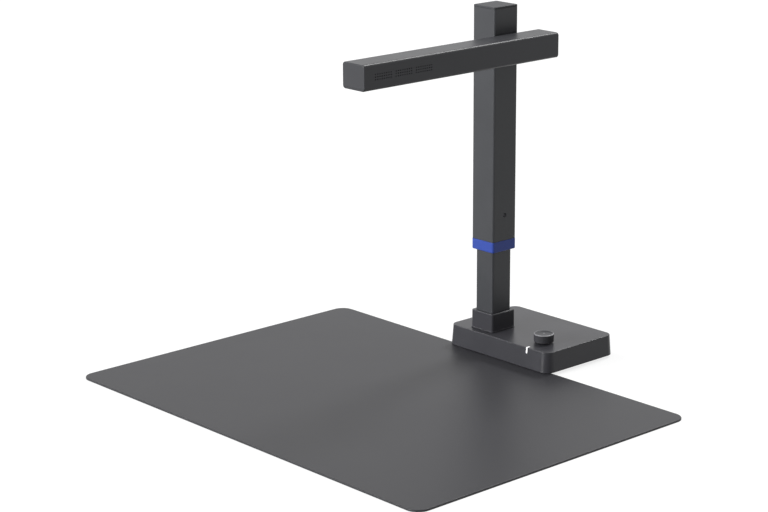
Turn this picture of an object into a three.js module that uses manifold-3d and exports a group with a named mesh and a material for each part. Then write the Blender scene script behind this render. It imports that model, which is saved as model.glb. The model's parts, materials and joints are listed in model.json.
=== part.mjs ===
// Overhead book scanner: a weighted base with a lamp dial, a telescopic column,
// a folding camera arm with two lamps, and the loose mat that the pages lie on.
// Millimetres, +Z up, +X to the reader's right, +Y away from the reader.
// The origin is at desk level, in the middle of the mat and base taken together.

import * as THREE from "three";
import { mergeVertices } from "three/addons/utils/BufferGeometryUtils.js";
import Module from "manifold-3d";

const wasm = await Module();
wasm.setup();

// Fits and steps shared by all pieces
const SEAT_GAP = 0.2;
const RUNNING_GAP = 0.3;
const THREAD_GAP = 0.15;
const TOOL_OVERRUN = 1.5;
const ARC_STEPS = 3;
const EDGE_STEPS = 2;
const ROUND_SIDES = 20;
const SMALL_SIDES = 10;

// Mat
const MAT_WIDTH = 432;
const MAT_DEPTH = 304.5;
const MAT_THICKNESS = 1.8;
const MAT_CORNER = 11.5;
const MAT_EDGE = 0.5;
const MAT_TUCK = 6.85;
const MAT_ARC_STEPS = 6;

// Base shell and its plate
const BASE_SHIFT = -0.6;
const BASE_WIDTH = 126;
const BASE_DEPTH = 87.3;
const BASE_TOP = 20.8;
const BASE_CORNER = 9;
const BASE_EDGE = 1;
const BASE_DRAFT = 1.4;
const BASE_WALL = 2;
const GROUND_GAP = 2.2;
const PLATE_THICKNESS = 2;

// Screw posts of the base, and the countersunk screws in them
const POST_RADIUS = 3.2;
const POST_INSET = 8.5;
const PILOT_DEPTH = 9;
const SCREW_RADIUS = 1;
const SCREW_HEAD_RADIUS = 2.3;
const SCREW_HEAD_HEIGHT = 1.4;
const SCREW_LENGTH = 8;
const SCREW_SOCKET_RADIUS = 0.8;
const SCREW_SOCKET_DEPTH = 0.7;
const SCREW_SINK = 0.2;

// Rubber feet
const FOOT_RADIUS = 5;
const FOOT_POCKET = 0.8;
const FOOT_EDGE = 0.5;
const FOOT_INSET_X = 21;
const FOOT_INSET_Y = 15.5;

// Steel ballast under the column
const BALLAST_POST_GAP = 1.8;
const BALLAST_INSET = 8.6;
const BALLAST_THICKNESS = 4.5;
const BALLAST_CORNER = 4;

// Circuit board of the base, its posts and the two sockets at the back
const BOARD_FROM_COLUMN = 14.5;
const BOARD_FROM_RIGHT = 14;
const BOARD_FROM_FRONT = 14.65;
const BOARD_FROM_REAR = 4.25;
const BOARD_THICKNESS = 1.6;
const BOARD_LEVEL = 11;
const BOARD_CORNER = 1.5;
const BOARD_POST_RADIUS = 2.4;
const BOARD_POST_INSET = 4;
const BOARD_SCREW_LENGTH = 5;
const BOARD_SCREW_RADIUS = 0.8;
const BOARD_SCREW_HEAD_RADIUS = 1.9;
const BOARD_SCREW_HEAD_HEIGHT = 1.2;
const SOCKET_RECESS = 0.4;
const SOCKET_WALL = 0.4;
const SMALL_SOCKET_WIDTH = 9;
const SMALL_SOCKET_HEIGHT = 3.2;
const SMALL_SOCKET_DEPTH = 7.5;
const SMALL_SOCKET_CORNER = 1.5;
const SMALL_SOCKET_TONGUE = 0.7;
const SMALL_SOCKET_FROM_BOARD_END = 8.5;
const LARGE_SOCKET_WIDTH = 13.2;
const LARGE_SOCKET_HEIGHT = 5.7;
const LARGE_SOCKET_DEPTH = 14;
const LARGE_SOCKET_CORNER = 0.4;
const LARGE_SOCKET_TONGUE = 1.8;
const LARGE_SOCKET_SHARE = 0.524;

// Lamp dial and its encoder
const DIAL_FROM_RIGHT = 26.8;
const DIAL_FROM_FRONT = 22.8;
const DIAL_RADIUS = 8.9;
const DIAL_HEIGHT = 7.3;
const DIAL_LIFT = 1.3;
const DIAL_EDGE = 0.5;
const DIAL_RIM = 1.1;
const DIAL_DISH = 0.3;
const DIAL_WALL = 1.6;
const DIAL_HUB_RADIUS = 5;
const DIAL_TRAVEL = 0.5;
const SHAFT_RADIUS = 3;
const SHAFT_FLAT = 1.6;
const SHAFT_INTO_DIAL = 5;
const ENCODER_SIZE = 12;
const ENCODER_HEIGHT = 5.8;
const ENCODER_CORNER = 0.6;
const BUSH_RADIUS = 4;
const BUSH_RISE = 0.6;
const ROTOR_RADIUS = 4.6;
const ROTOR_THICKNESS = 1.8;

// Light line at the front edge of the base
const LIGHT_WIDTH = 1.5;
const LIGHT_DROP = 5.4;
const LIGHT_RUN = 4.9;
const LIGHT_THICKNESS = 2.6;
const LIGHT_GAP = 0.1;

// Column: collar, inner tube, outer tube
const COLUMN_FROM_LEFT = 35.5;
const COLUMN_FROM_FRONT = 22.7;
const OUTER_WIDTH = 27;
const OUTER_DEPTH = 28.5;
const OUTER_WALL = 1.8;
const OUTER_CORNER = 1.8;
const TUBE_STEP = 2.65;
const INNER_WALL = 1.5;
const INNER_CORNER = 2;
const INNER_TOP = 175;
const TOP_ABOVE_PIVOT = 35.2;
const COLLAR_HEIGHT = 17;
const COLLAR_PROUD = 0.2;
const COLLAR_EDGE = 0.8;
const COLLAR_CORNER = 2.4;
const COLLAR_LIP = 0.5;
const COLLAR_LIP_HEIGHT = 0.9;
const COLLAR_LIP_EDGE = 0.3;
const COLLAR_NECK_WALL = 1.2;
const COLLAR_NECK_DROP = 5;
const COLUMN_TRAVEL = 56.9;

// Foot block in the inner tube, its bolts and its cross pin
const BLOCK_HEIGHT = 14;
const BLOCK_LEAD_HOLE = 2.8;
const BOLT_RADIUS = 1.7;
const BOLT_HEAD_RADIUS = 3.2;
const BOLT_HEAD_HEIGHT = 2.3;
const BOLT_REACH = 9;
const BOLT_OFFSET = 6.3;
const BOLT_SOCKET_RADIUS = 1.5;
const BOLT_SOCKET_DEPTH = 1.2;
const PIN_RADIUS = 1.2;
const PIN_RISE = 11;

// Glide on top of the inner tube
const GLIDE_HEIGHT = 6;
const GLIDE_PLUG = 9;
const GLIDE_CORNER = 0.8;

// Blue band at the foot of the outer tube
const BAND_HEIGHT = 9.7;
const BAND_PROUD = 0.2;
const BAND_EDGE = 0.9;
const BAND_SLEEVE = 9;

// Cap of the column
const CAP_THICKNESS = 1.6;
const CAP_EDGE = 0.5;
const CAP_PLUG = 6;
const CAP_PLUG_WALL = 1.4;

// Height detent seen as a small hole in the column's right side
const DETENT_LEVEL = 127.5;
const DETENT_RADIUS = 1.5;
const DETENT_RECESS = 0.6;
const DETENT_SINK_RADIUS = 2.1;
const DETENT_SINK = 0.5;
const DIMPLE_DEPTH = 0.7;
const DETENT_SLOT = 0.6;

// Hinge between column and arm
const PIVOT_LEVEL = 279.8;
const HINGE_BLOCK_HEIGHT = 22;
const ARM_GAP = 0.9;
const PIVOT_RADIUS = 5;
const PIVOT_BORE = 2.8;
const FLANGE_RADIUS = 9;
const FLANGE_THICKNESS = 2;
const FLANGE_SCREW_CIRCLE = 7;
const FLANGE_SCREW_RADIUS = 0.8;
const FLANGE_SCREW_HEAD_RADIUS = 1.5;
const FLANGE_SCREW_HEAD_HEIGHT = 1;
const FLANGE_SCREW_REACH = 1.2;
const WASHER_RADIUS = 7.6;
const WASHER_GAP = 0.15;
const HINGE_WEB = 8;
const SPRING_RADIUS = 7.4;
const SPRING_HEIGHT = 2.4;
const SPRING_PLATE = 0.9;
const NUT_ACROSS_CORNERS = 15.5;
const NUT_THICKNESS = 4;
const NUT_POCKET_RADIUS = 8.4;
const HINGE_SCREW_OFFSET = 8.6;
const HINGE_SCREW_LENGTH = 6.5;
const STOP_RADIUS = 1.1;
const STOP_CIRCLE = 9;
const STOP_REACH = 1.9;
const STOP_ANGLE = 45;
const FOLD_ANGLE = 90;

// Arm shell and cover
const ARM_WIDTH = 27;
const ARM_HEIGHT = 22.2;
const ARM_REACH = 189.9;
const ARM_TAIL = 37;
const ARM_ROUND = 2.8;
const ARM_END_EDGE = 0.8;
const ARM_INNER_CORNER = 1;
const ARM_WALL = 1.8;
const ARM_PIVOT_PAD = 1.4;
const ARM_PIVOT_PAD_RADIUS = 10.6;
const COVER_THICKNESS = 1.8;
const COVER_SEAM = 0.15;
const COVER_LIP_HEIGHT = 1.6;
const COVER_LIP_WALL = 1;
const ARM_POST_RADIUS = 2.6;
const ARM_POST_INSET_X = 5.3;
const ARM_POST_INSET_Y = 6.2;
const ARM_SCREW_LENGTH = 8;

// Vent holes in the arm's right side, in three groups
const VENT_RADIUS = 0.5;
const VENT_PITCH = 2.45;
const VENT_ROW_PITCH = 2.15;
const VENT_ROWS = 3;
const VENT_COLUMNS = 8;
const VENT_SIDES = 6;
const VENT_GROUPS = 3;
const VENT_GROUP_STEP = 22.65;
const VENT_FROM_TIP = 12.2;

// Camera
const LENS_FROM_TIP = 19.5;
const WINDOW_RADIUS = 8;
const WINDOW_THICKNESS = 1;
const WINDOW_LEDGE = 0.9;
const WINDOW_RECESS = 0.3;
const BARREL_RADIUS = 6;
const BARREL_HEIGHT = 8;
const BARREL_MOUTH = 1.4;
const BARREL_WALL = 1.2;
const BARREL_INTO_HOLDER = 3;
const GLASS_DOME = 0.9;
const GLASS_CROWN_SHARE = 0.75;
const GLASS_THICKNESS = 1.6;
const HOLDER_SIZE = 15;
const HOLDER_HEIGHT = 5;
const CAMERA_BOARD_SIZE = 19;
const CAMERA_BOARD_THICKNESS = 1.2;
const CAMERA_POST_RADIUS = 1.6;
const SENSOR_SIZE = 7;
const SENSOR_THICKNESS = 0.8;

// Lamps in the arm's underside
const LAMP_LENGTH = 50;
const LAMP_WIDTH = 13;
const LAMP_CORNER = 2;
const LAMP_FLANGE = 1.2;
const LAMP_FLANGE_THICKNESS = 0.8;
const LAMP_FROM_LENS = 14;
const LAMP_SPACING = 20;
const LAMP_BOARD_THICKNESS = 1.2;
const LAMP_BOARD_LEVEL = 4.5;
const LAMP_RIB_WALL = 1.4;
const CHIP_COUNT = 6;
const CHIP_LENGTH = 3.5;
const CHIP_WIDTH = 2.8;
const CHIP_HEIGHT = 0.8;

// Processor board in the arm, and the lead to the hinge
const ARM_BOARD_LENGTH = 66;
const ARM_BOARD_WIDTH = 17;
const ARM_BOARD_THICKNESS = 1.4;
const ARM_BOARD_DROP = 4.4;
const ARM_BOARD_FROM_LENS = 18;
const ARM_CHIP_SIZE = 10;
const ARM_CHIP_HEIGHT = 1.2;
const LEAD_RADIUS = 1.3;
const LEAD_SIDES = 8;
const LEAD_STEPS = 16;
const LEAD_CLEAR_OF_FLANGE = 7;

// Levels and places worked out from the sizes above
const plateTop = GROUND_GAP + PLATE_THICKNESS;
const ceiling = BASE_TOP - BASE_WALL;
const ballastBottom = plateTop + SEAT_GAP;
const ballastTop = ballastBottom + BALLAST_THICKNESS;
const boardTop = BOARD_LEVEL + BOARD_THICKNESS;
const postX = BASE_WIDTH / 2 - POST_INSET;
const postY = BASE_DEPTH / 2 - POST_INSET;
const innerWidth = OUTER_WIDTH - 2 * TUBE_STEP;
const innerDepth = OUTER_DEPTH - 2 * TUBE_STEP;
const innerBoreWidth = innerWidth - 2 * INNER_WALL;
const innerBoreDepth = innerDepth - 2 * INNER_WALL;
const outerBoreWidth = OUTER_WIDTH - 2 * OUTER_WALL;
const outerBoreDepth = OUTER_DEPTH - 2 * OUTER_WALL;
const outerBoreCorner = OUTER_CORNER / 3;
const collarTop = BASE_TOP + COLLAR_HEIGHT;
const bandBottom = collarTop + COLUMN_TRAVEL;
const bandTop = bandBottom + BAND_HEIGHT;
const capBottom = PIVOT_LEVEL + TOP_ABOVE_PIVOT - CAP_THICKNESS;
const innerFoot = ballastTop + SEAT_GAP;
const hingeBottom = PIVOT_LEVEL - HINGE_BLOCK_HEIGHT / 2;
const armLength = ARM_REACH + ARM_TAIL;
const armMiddle = (ARM_TAIL - ARM_REACH) / 2;
const armBottom = -ARM_HEIGHT / 2;
const armCeiling = ARM_HEIGHT / 2 - ARM_WALL;
const armCentreX = ARM_GAP + ARM_WIDTH / 2;
const coverTop = armBottom + COVER_THICKNESS;
const lensY = LENS_FROM_TIP - ARM_REACH;

// Materials
function finish(color, roughness, metalness) {
  return new THREE.MeshStandardMaterial({ color, roughness, metalness, flatShading: true });
}
const shellPlastic = finish(0x3c3e42, 0.55, 0);
const armPlastic = finish(0x3e4044, 0.5, 0);
const tubeMetal = finish(0x46484c, 0.45, 0.3);
const bluePlastic = finish(0x2b48b4, 0.45, 0);
const matRubber = finish(0x4c4c50, 0.8, 0);
const footRubber = finish(0x202022, 0.9, 0);
const lightPlastic = finish(0xf2f2f2, 0.35, 0);
const diffuserPlastic = finish(0xe6e8ea, 0.5, 0);
const boardGreen = finish(0x1f5a3a, 0.5, 0);
const brightSteel = finish(0xb4b6ba, 0.3, 1);
const blackSteel = finish(0x2c2c2e, 0.4, 0.8);
const glideNylon = finish(0xd8d6cc, 0.6, 0);
const leadRubber = finish(0x18181a, 0.7, 0);
const lensGlass = finish(0x0c1018, 0.05, 0);

// Solids are joined and cut as closed meshes.
function solidOf(geometry) {
  const bare = geometry.index ? geometry.toNonIndexed() : geometry.clone();
  bare.deleteAttribute("normal");
  bare.deleteAttribute("uv");
  const merged = mergeVertices(bare);
  return new wasm.Manifold(
    new wasm.Mesh({
      numProp: 3,
      vertProperties: new Float32Array(merged.attributes.position.array),
      triVerts: new Uint32Array(merged.index.array),
    }),
  );
}

function geometryOf(solid) {
  const made = solid.getMesh();
  const geometry = new THREE.BufferGeometry();
  geometry.setAttribute("position", new THREE.BufferAttribute(made.vertProperties, made.numProp));
  geometry.setIndex(new THREE.BufferAttribute(made.triVerts, 1));
  const faceted = geometry.toNonIndexed();
  faceted.computeVertexNormals();
  return faceted;
}

function cut(body, ...tools) {
  return tools.reduce((left, tool) => left.subtract(solidOf(tool)), body);
}

function join(body, ...others) {
  return others.reduce((sum, other) => sum.add(solidOf(other)), body);
}

// The points of a rectangle with round corners, anticlockwise about the origin.
function roundedOutline(width, depth, corner, arcSteps) {
  const points = [];
  const centreX = width / 2 - corner;
  const centreY = depth / 2 - corner;
  const signs = [[1, 1], [-1, 1], [-1, -1], [1, -1]];
  signs.forEach(([signX, signY], quarter) => {
    for (let step = 0; step <= arcSteps; step += 1) {
      const angle = ((quarter + step / arcSteps) * Math.PI) / 2;
      points.push([
        signX * centreX + corner * Math.cos(angle),
        signY * centreY + corner * Math.sin(angle),
      ]);
    }
  });
  return points;
}

// Skins a stack of outlines that have the same number of points, and closes both ends.
function loft(rings) {
  const count = rings[0].points.length;
  const vertices = [];
  const faces = [];
  rings.forEach(({ points, level }) => {
    points.forEach(([x, y]) => vertices.push(x, y, level));
  });
  for (let ring = 0; ring < rings.length - 1; ring += 1) {
    for (let i = 0; i < count; i += 1) {
      const next = (i + 1) % count;
      const low = ring * count;
      const high = low + count;
      faces.push(low + i, low + next, high + next, low + i, high + next, high + i);
    }
  }
  const last = (rings.length - 1) * count;
  for (let i = 1; i < count - 1; i += 1) {
    faces.push(0, i + 1, i, last, last + i, last + i + 1);
  }
  const geometry = new THREE.BufferGeometry();
  geometry.setAttribute("position", new THREE.Float32BufferAttribute(vertices, 3));
  geometry.setIndex(faces);
  return geometry;
}

// A block that stands on z = 0, with round corners, round edges and drafted sides.
function block({
  width, depth, height, corner, topEdge = 0, bottomEdge = 0, draft = 0, arcSteps = ARC_STEPS,
}) {
  const rings = [];
  const addRing = (inset, level) => {
    const drawnIn = inset + (draft * level) / height;
    const radius = Math.max(corner - drawnIn, corner / 10);
    const points = roundedOutline(width - 2 * drawnIn, depth - 2 * drawnIn, radius, arcSteps);
    rings.push({ points, level });
  };
  for (let step = 0; bottomEdge > 0 && step < EDGE_STEPS; step += 1) {
    const angle = ((step / EDGE_STEPS) * Math.PI) / 2;
    addRing(bottomEdge * (1 - Math.sin(angle)), bottomEdge * (1 - Math.cos(angle)));
  }
  addRing(0, bottomEdge);
  addRing(0, height - topEdge);
  for (let step = 1; topEdge > 0 && step <= EDGE_STEPS; step += 1) {
    const angle = ((step / EDGE_STEPS) * Math.PI) / 2;
    addRing(topEdge * (1 - Math.cos(angle)), height - topEdge * (1 - Math.sin(angle)));
  }
  return loft(rings);
}

function rod(radius, height, sides = SMALL_SIDES) {
  return new THREE.CylinderGeometry(radius, radius, height, sides)
    .rotateX(Math.PI / 2)
    .translate(0, 0, height / 2);
}

// A turned piece about +Z, from [radius, level] points that run up its outside.
function turned(profile, sides = ROUND_SIDES) {
  const points = profile.map(([radius, level]) => new THREE.Vector2(radius, level));
  return new THREE.LatheGeometry(points, sides).rotateX(Math.PI / 2);
}

function alongX(geometry) {
  return geometry.rotateY(Math.PI / 2);
}

function alongY(geometry) {
  return geometry.rotateX(-Math.PI / 2);
}

function boxTool(width, depth, height) {
  return new THREE.BoxGeometry(width, depth, height).translate(0, 0, height / 2);
}

// The head of a countersunk screw lies at z = 0, with a hexagonal socket in it, and its shank runs up.
function countersunkScrew(length) {
  const body = turned([
    [0, 0],
    [SCREW_HEAD_RADIUS, 0],
    [SCREW_RADIUS, SCREW_HEAD_HEIGHT],
    [SCREW_RADIUS, length],
    [0, length],
  ], SMALL_SIDES);
  const socket = rod(SCREW_SOCKET_RADIUS, SCREW_SOCKET_DEPTH + TOOL_OVERRUN, 6);
  return cut(solidOf(body), socket.translate(0, 0, -TOOL_OVERRUN));
}

function countersunkHole(plateThickness) {
  const depth = SCREW_SINK + SCREW_HEAD_HEIGHT;
  return turned([
    [0, -TOOL_OVERRUN],
    [SCREW_HEAD_RADIUS + SEAT_GAP, -TOOL_OVERRUN],
    [SCREW_HEAD_RADIUS + SEAT_GAP, SCREW_SINK],
    [SCREW_RADIUS + SEAT_GAP, depth],
    [SCREW_RADIUS + SEAT_GAP, plateThickness + TOOL_OVERRUN],
    [0, plateThickness + TOOL_OVERRUN],
  ], SMALL_SIDES);
}

// A screw or bolt with a straight head below z = 0 and its shank above.
function cappedScrew(radius, reach, headRadius, headHeight, socketRadius, socketDepth) {
  const body = turned([
    [0, -headHeight],
    [headRadius, -headHeight],
    [headRadius, 0],
    [radius, 0],
    [radius, reach],
    [0, reach],
  ], SMALL_SIDES);
  const socket = rod(socketRadius, socketDepth + TOOL_OVERRUN, 6);
  return cut(solidOf(body), socket.translate(0, 0, -headHeight - TOOL_OVERRUN));
}

function piece(name, shape, material, parent, x = 0, y = 0, z = 0) {
  const geometry = shape.isBufferGeometry ? geometryOf(solidOf(shape)) : geometryOf(shape);
  const mesh = new THREE.Mesh(geometry, material);
  mesh.name = name;
  mesh.position.set(x, y, z);
  parent.add(mesh);
  return mesh;
}

const fourCorners = [
  ["front_left", -1, -1],
  ["front_right", 1, -1],
  ["rear_left", -1, 1],
  ["rear_right", 1, 1],
];

// The mat is centred on X; the group is centred on Y over the mat and the base together.
const scanner = new THREE.Group();
scanner.position.set(0, -(BASE_DEPTH - MAT_TUCK) / 2, 0);

// Mat
function makeMat(parent) {
  const sheet = block({
    width: MAT_WIDTH,
    depth: MAT_DEPTH,
    height: MAT_THICKNESS,
    corner: MAT_CORNER,
    topEdge: MAT_EDGE,
    arcSteps: MAT_ARC_STEPS,
  });
  piece("document_mat", sheet, matRubber, parent);
}

// Base
const columnX = COLUMN_FROM_LEFT - BASE_WIDTH / 2;
const columnY = COLUMN_FROM_FRONT - BASE_DEPTH / 2;
const dialX = BASE_WIDTH / 2 - DIAL_FROM_RIGHT;
const dialY = DIAL_FROM_FRONT - BASE_DEPTH / 2;
const baseRear = BASE_DEPTH / 2;
const boardLeft = columnX + BOARD_FROM_COLUMN;
const boardRight = BASE_WIDTH / 2 - BOARD_FROM_RIGHT;
const boardFront = BOARD_FROM_FRONT - BASE_DEPTH / 2;
const boardRear = BASE_DEPTH / 2 - BOARD_FROM_REAR;
const boardWidth = boardRight - boardLeft;
const boardPosts = [
  [boardLeft + BOARD_POST_INSET, boardFront + BOARD_POST_INSET],
  [boardRight - BOARD_POST_INSET, boardRear - BOARD_POST_INSET],
];
const smallSocketX = boardLeft + SMALL_SOCKET_FROM_BOARD_END;
const largeSocketX = boardLeft + boardWidth * LARGE_SOCKET_SHARE;

function baseOuter() {
  return block({
    width: BASE_WIDTH,
    depth: BASE_DEPTH,
    height: BASE_TOP - GROUND_GAP,
    corner: BASE_CORNER,
    topEdge: BASE_EDGE,
    draft: BASE_DRAFT,
    arcSteps: MAT_ARC_STEPS,
  }).translate(0, 0, GROUND_GAP);
}

function lightSlot(gap) {
  const width = LIGHT_WIDTH + 2 * gap;
  const depth = LIGHT_RUN + TOOL_OVERRUN + gap;
  const height = LIGHT_DROP + TOOL_OVERRUN + gap;
  return boxTool(width, depth, height).translate(
    dialX,
    depth / 2 - TOOL_OVERRUN - BASE_DEPTH / 2,
    BASE_TOP - LIGHT_DROP - gap,
  );
}

function collarNeck(gap, height) {
  return block({
    width: innerWidth + 2 * (SEAT_GAP + COLLAR_NECK_WALL + gap),
    depth: innerDepth + 2 * (SEAT_GAP + COLLAR_NECK_WALL + gap),
    height,
    corner: INNER_CORNER,
  });
}

function socketOpening(width, height, corner, x) {
  const depth = BASE_WALL + BASE_DRAFT + 2 * TOOL_OVERRUN;
  const tool = block({
    width: width + 2 * SEAT_GAP,
    depth: height + 2 * SEAT_GAP,
    height: depth,
    corner: corner + SEAT_GAP,
  });
  return alongY(tool).translate(
    x,
    baseRear - depth + TOOL_OVERRUN,
    boardTop + SEAT_GAP + height / 2,
  );
}

function makeBaseHousing(parent) {
  const cavity = block({
    width: BASE_WIDTH - 2 * BASE_WALL,
    depth: BASE_DEPTH - 2 * BASE_WALL,
    height: ceiling - GROUND_GAP + TOOL_OVERRUN,
    corner: BASE_CORNER - BASE_WALL,
    draft: BASE_DRAFT,
  }).translate(0, 0, GROUND_GAP - TOOL_OVERRUN);
  let body = cut(solidOf(baseOuter()), cavity);
  const postBottom = plateTop + SEAT_GAP;
  fourCorners.forEach(([, sideX, sideY]) => {
    const post = rod(POST_RADIUS, BASE_TOP - BASE_WALL / 2 - postBottom, SMALL_SIDES);
    body = join(body, post.translate(sideX * postX, sideY * postY, postBottom));
  });
  boardPosts.forEach(([x, y]) => {
    const foot = boardTop + SEAT_GAP;
    const post = rod(BOARD_POST_RADIUS, BASE_TOP - BASE_WALL / 2 - foot);
    body = join(body, post.translate(x, y, foot));
    const pilot = rod(BOARD_SCREW_RADIUS + THREAD_GAP, BOARD_SCREW_LENGTH);
    body = cut(body, pilot.translate(x, y, foot - TOOL_OVERRUN));
  });
  fourCorners.forEach(([, sideX, sideY]) => {
    const pilot = rod(SCREW_RADIUS + THREAD_GAP, PILOT_DEPTH);
    body = cut(body, pilot.translate(sideX * postX, sideY * postY, postBottom - TOOL_OVERRUN));
  });
  const neckHole = collarNeck(SEAT_GAP, BASE_WALL + 2 * TOOL_OVERRUN);
  const dialHole = rod(BUSH_RADIUS + SEAT_GAP, BASE_WALL + 2 * TOOL_OVERRUN, ROUND_SIDES);
  body = cut(
    body,
    neckHole.translate(columnX, columnY, ceiling - TOOL_OVERRUN),
    dialHole.translate(dialX, dialY, ceiling - TOOL_OVERRUN),
    lightSlot(LIGHT_GAP),
    socketOpening(SMALL_SOCKET_WIDTH, SMALL_SOCKET_HEIGHT, SMALL_SOCKET_CORNER, smallSocketX),
    socketOpening(LARGE_SOCKET_WIDTH, LARGE_SOCKET_HEIGHT, LARGE_SOCKET_CORNER, largeSocketX),
  );
  piece("base_housing", body, shellPlastic, parent);
}

function makeStatusLight(parent) {
  const hollowDepth = LIGHT_RUN + TOOL_OVERRUN;
  const hollow = boxTool(LIGHT_WIDTH + 2 * TOOL_OVERRUN, hollowDepth, LIGHT_DROP).translate(
    dialX,
    LIGHT_THICKNESS + hollowDepth / 2 - BASE_DEPTH / 2,
    BASE_TOP - LIGHT_THICKNESS - LIGHT_DROP,
  );
  const strip = solidOf(baseOuter()).intersect(solidOf(lightSlot(0)));
  piece("status_light", cut(strip, hollow), lightPlastic, parent);
}

function makeBasePlate(parent) {
  // The cavity narrows upwards, so the plate is sized for its own top face.
  const cavityHeight = ceiling - GROUND_GAP + TOOL_OVERRUN;
  const narrowing = (BASE_DRAFT * (PLATE_THICKNESS + TOOL_OVERRUN)) / cavityHeight;
  const inset = BASE_WALL + narrowing + SEAT_GAP;
  const plate = block({
    width: BASE_WIDTH - 2 * inset,
    depth: BASE_DEPTH - 2 * inset,
    height: PLATE_THICKNESS,
    corner: BASE_CORNER - BASE_WALL,
  });
  let body = solidOf(plate);
  fourCorners.forEach(([, sideX, sideY]) => {
    const pocket = rod(FOOT_RADIUS + SEAT_GAP, FOOT_POCKET + TOOL_OVERRUN, ROUND_SIDES);
    body = cut(
      body,
      countersunkHole(PLATE_THICKNESS).translate(sideX * postX, sideY * postY, 0),
      pocket.translate(
        sideX * (BASE_WIDTH / 2 - FOOT_INSET_X),
        sideY * (BASE_DEPTH / 2 - FOOT_INSET_Y),
        -TOOL_OVERRUN,
      ),
    );
  });
  piece("base_plate", body, shellPlastic, parent, 0, 0, GROUND_GAP);
}

function makeBaseFasteners(parent) {
  const footHeight = GROUND_GAP + FOOT_POCKET - SEAT_GAP;
  const foot = turned([
    [0, 0],
    [FOOT_RADIUS - FOOT_EDGE, 0],
    [FOOT_RADIUS, FOOT_EDGE],
    [FOOT_RADIUS, footHeight],
    [0, footHeight],
  ]);
  fourCorners.forEach(([corner, sideX, sideY]) => {
    const footX = sideX * (BASE_WIDTH / 2 - FOOT_INSET_X);
    const footY = sideY * (BASE_DEPTH / 2 - FOOT_INSET_Y);
    piece(`foot_${corner}`, foot, footRubber, parent, footX, footY, 0);
    const screw = countersunkScrew(SCREW_LENGTH);
    const level = GROUND_GAP + SCREW_SINK;
    piece(`base_screw_${corner}`, screw, blackSteel, parent, sideX * postX, sideY * postY, level);
  });
}

function makeBallast(parent) {
  const plate = block({
    width: 2 * (postX - POST_RADIUS - BALLAST_POST_GAP),
    depth: BASE_DEPTH - 2 * BALLAST_INSET,
    height: BALLAST_THICKNESS,
    corner: BALLAST_CORNER,
  });
  let body = solidOf(plate);
  [-1, 1].forEach((side) => {
    const y = columnY + side * BOLT_OFFSET;
    const hole = rod(BOLT_RADIUS + SEAT_GAP, BALLAST_THICKNESS + 2 * TOOL_OVERRUN);
    const pocketDepth = BOLT_HEAD_HEIGHT + SEAT_GAP + TOOL_OVERRUN;
    const pocket = rod(BOLT_HEAD_RADIUS + SEAT_GAP, pocketDepth);
    body = cut(
      body,
      hole.translate(columnX, y, -TOOL_OVERRUN),
      pocket.translate(columnX, y, -TOOL_OVERRUN),
    );
  });
  piece("ballast_plate", body, brightSteel, parent, 0, 0, ballastBottom);
  [["front", -1], ["rear", 1]].forEach(([end, side]) => {
    const reach = BALLAST_THICKNESS - BOLT_HEAD_HEIGHT + BOLT_REACH;
    const bolt = cappedScrew(
      BOLT_RADIUS, reach, BOLT_HEAD_RADIUS, BOLT_HEAD_HEIGHT, BOLT_SOCKET_RADIUS, BOLT_SOCKET_DEPTH,
    );
    const level = ballastBottom + BOLT_HEAD_HEIGHT;
    piece(`column_bolt_${end}`, bolt, blackSteel, parent, columnX, columnY + side * BOLT_OFFSET, level);
  });
}

function makeMainBoard(parent) {
  const board = block({
    width: boardWidth,
    depth: boardRear - boardFront,
    height: BOARD_THICKNESS,
    corner: BOARD_CORNER,
  }).translate((boardLeft + boardRight) / 2, (boardFront + boardRear) / 2, BOARD_LEVEL);
  let body = solidOf(board);
  boardPosts.forEach(([x, y]) => {
    const hole = rod(BOARD_SCREW_RADIUS + SEAT_GAP, BOARD_THICKNESS + 2 * TOOL_OVERRUN);
    body = cut(body, hole.translate(x, y, BOARD_LEVEL - TOOL_OVERRUN));
  });
  piece("main_board", body, boardGreen, parent);
  boardPosts.forEach(([x, y], index) => {
    const screw = cappedScrew(
      BOARD_SCREW_RADIUS,
      BOARD_SCREW_LENGTH - TOOL_OVERRUN,
      BOARD_SCREW_HEAD_RADIUS,
      BOARD_SCREW_HEAD_HEIGHT,
      SCREW_SOCKET_RADIUS,
      SCREW_SOCKET_DEPTH,
    );
    piece(`board_screw_${index + 1}`, screw, brightSteel, parent, x, y, BOARD_LEVEL - SEAT_GAP);
  });
}

function socketShell(width, height, depth, corner, tongue) {
  const shell = block({ width, depth: height, height: depth, corner });
  const mouth = block({
    width: width - 2 * SOCKET_WALL,
    depth: height - 2 * SOCKET_WALL,
    height: depth,
    corner: Math.max(corner - SOCKET_WALL, corner / 2),
  }).translate(0, 0, SOCKET_WALL);
  const blade = boxTool(width - 6 * SOCKET_WALL, tongue, depth - 2 * SOCKET_WALL);
  return alongY(geometryOf(join(cut(solidOf(shell), mouth), blade)));
}

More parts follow.
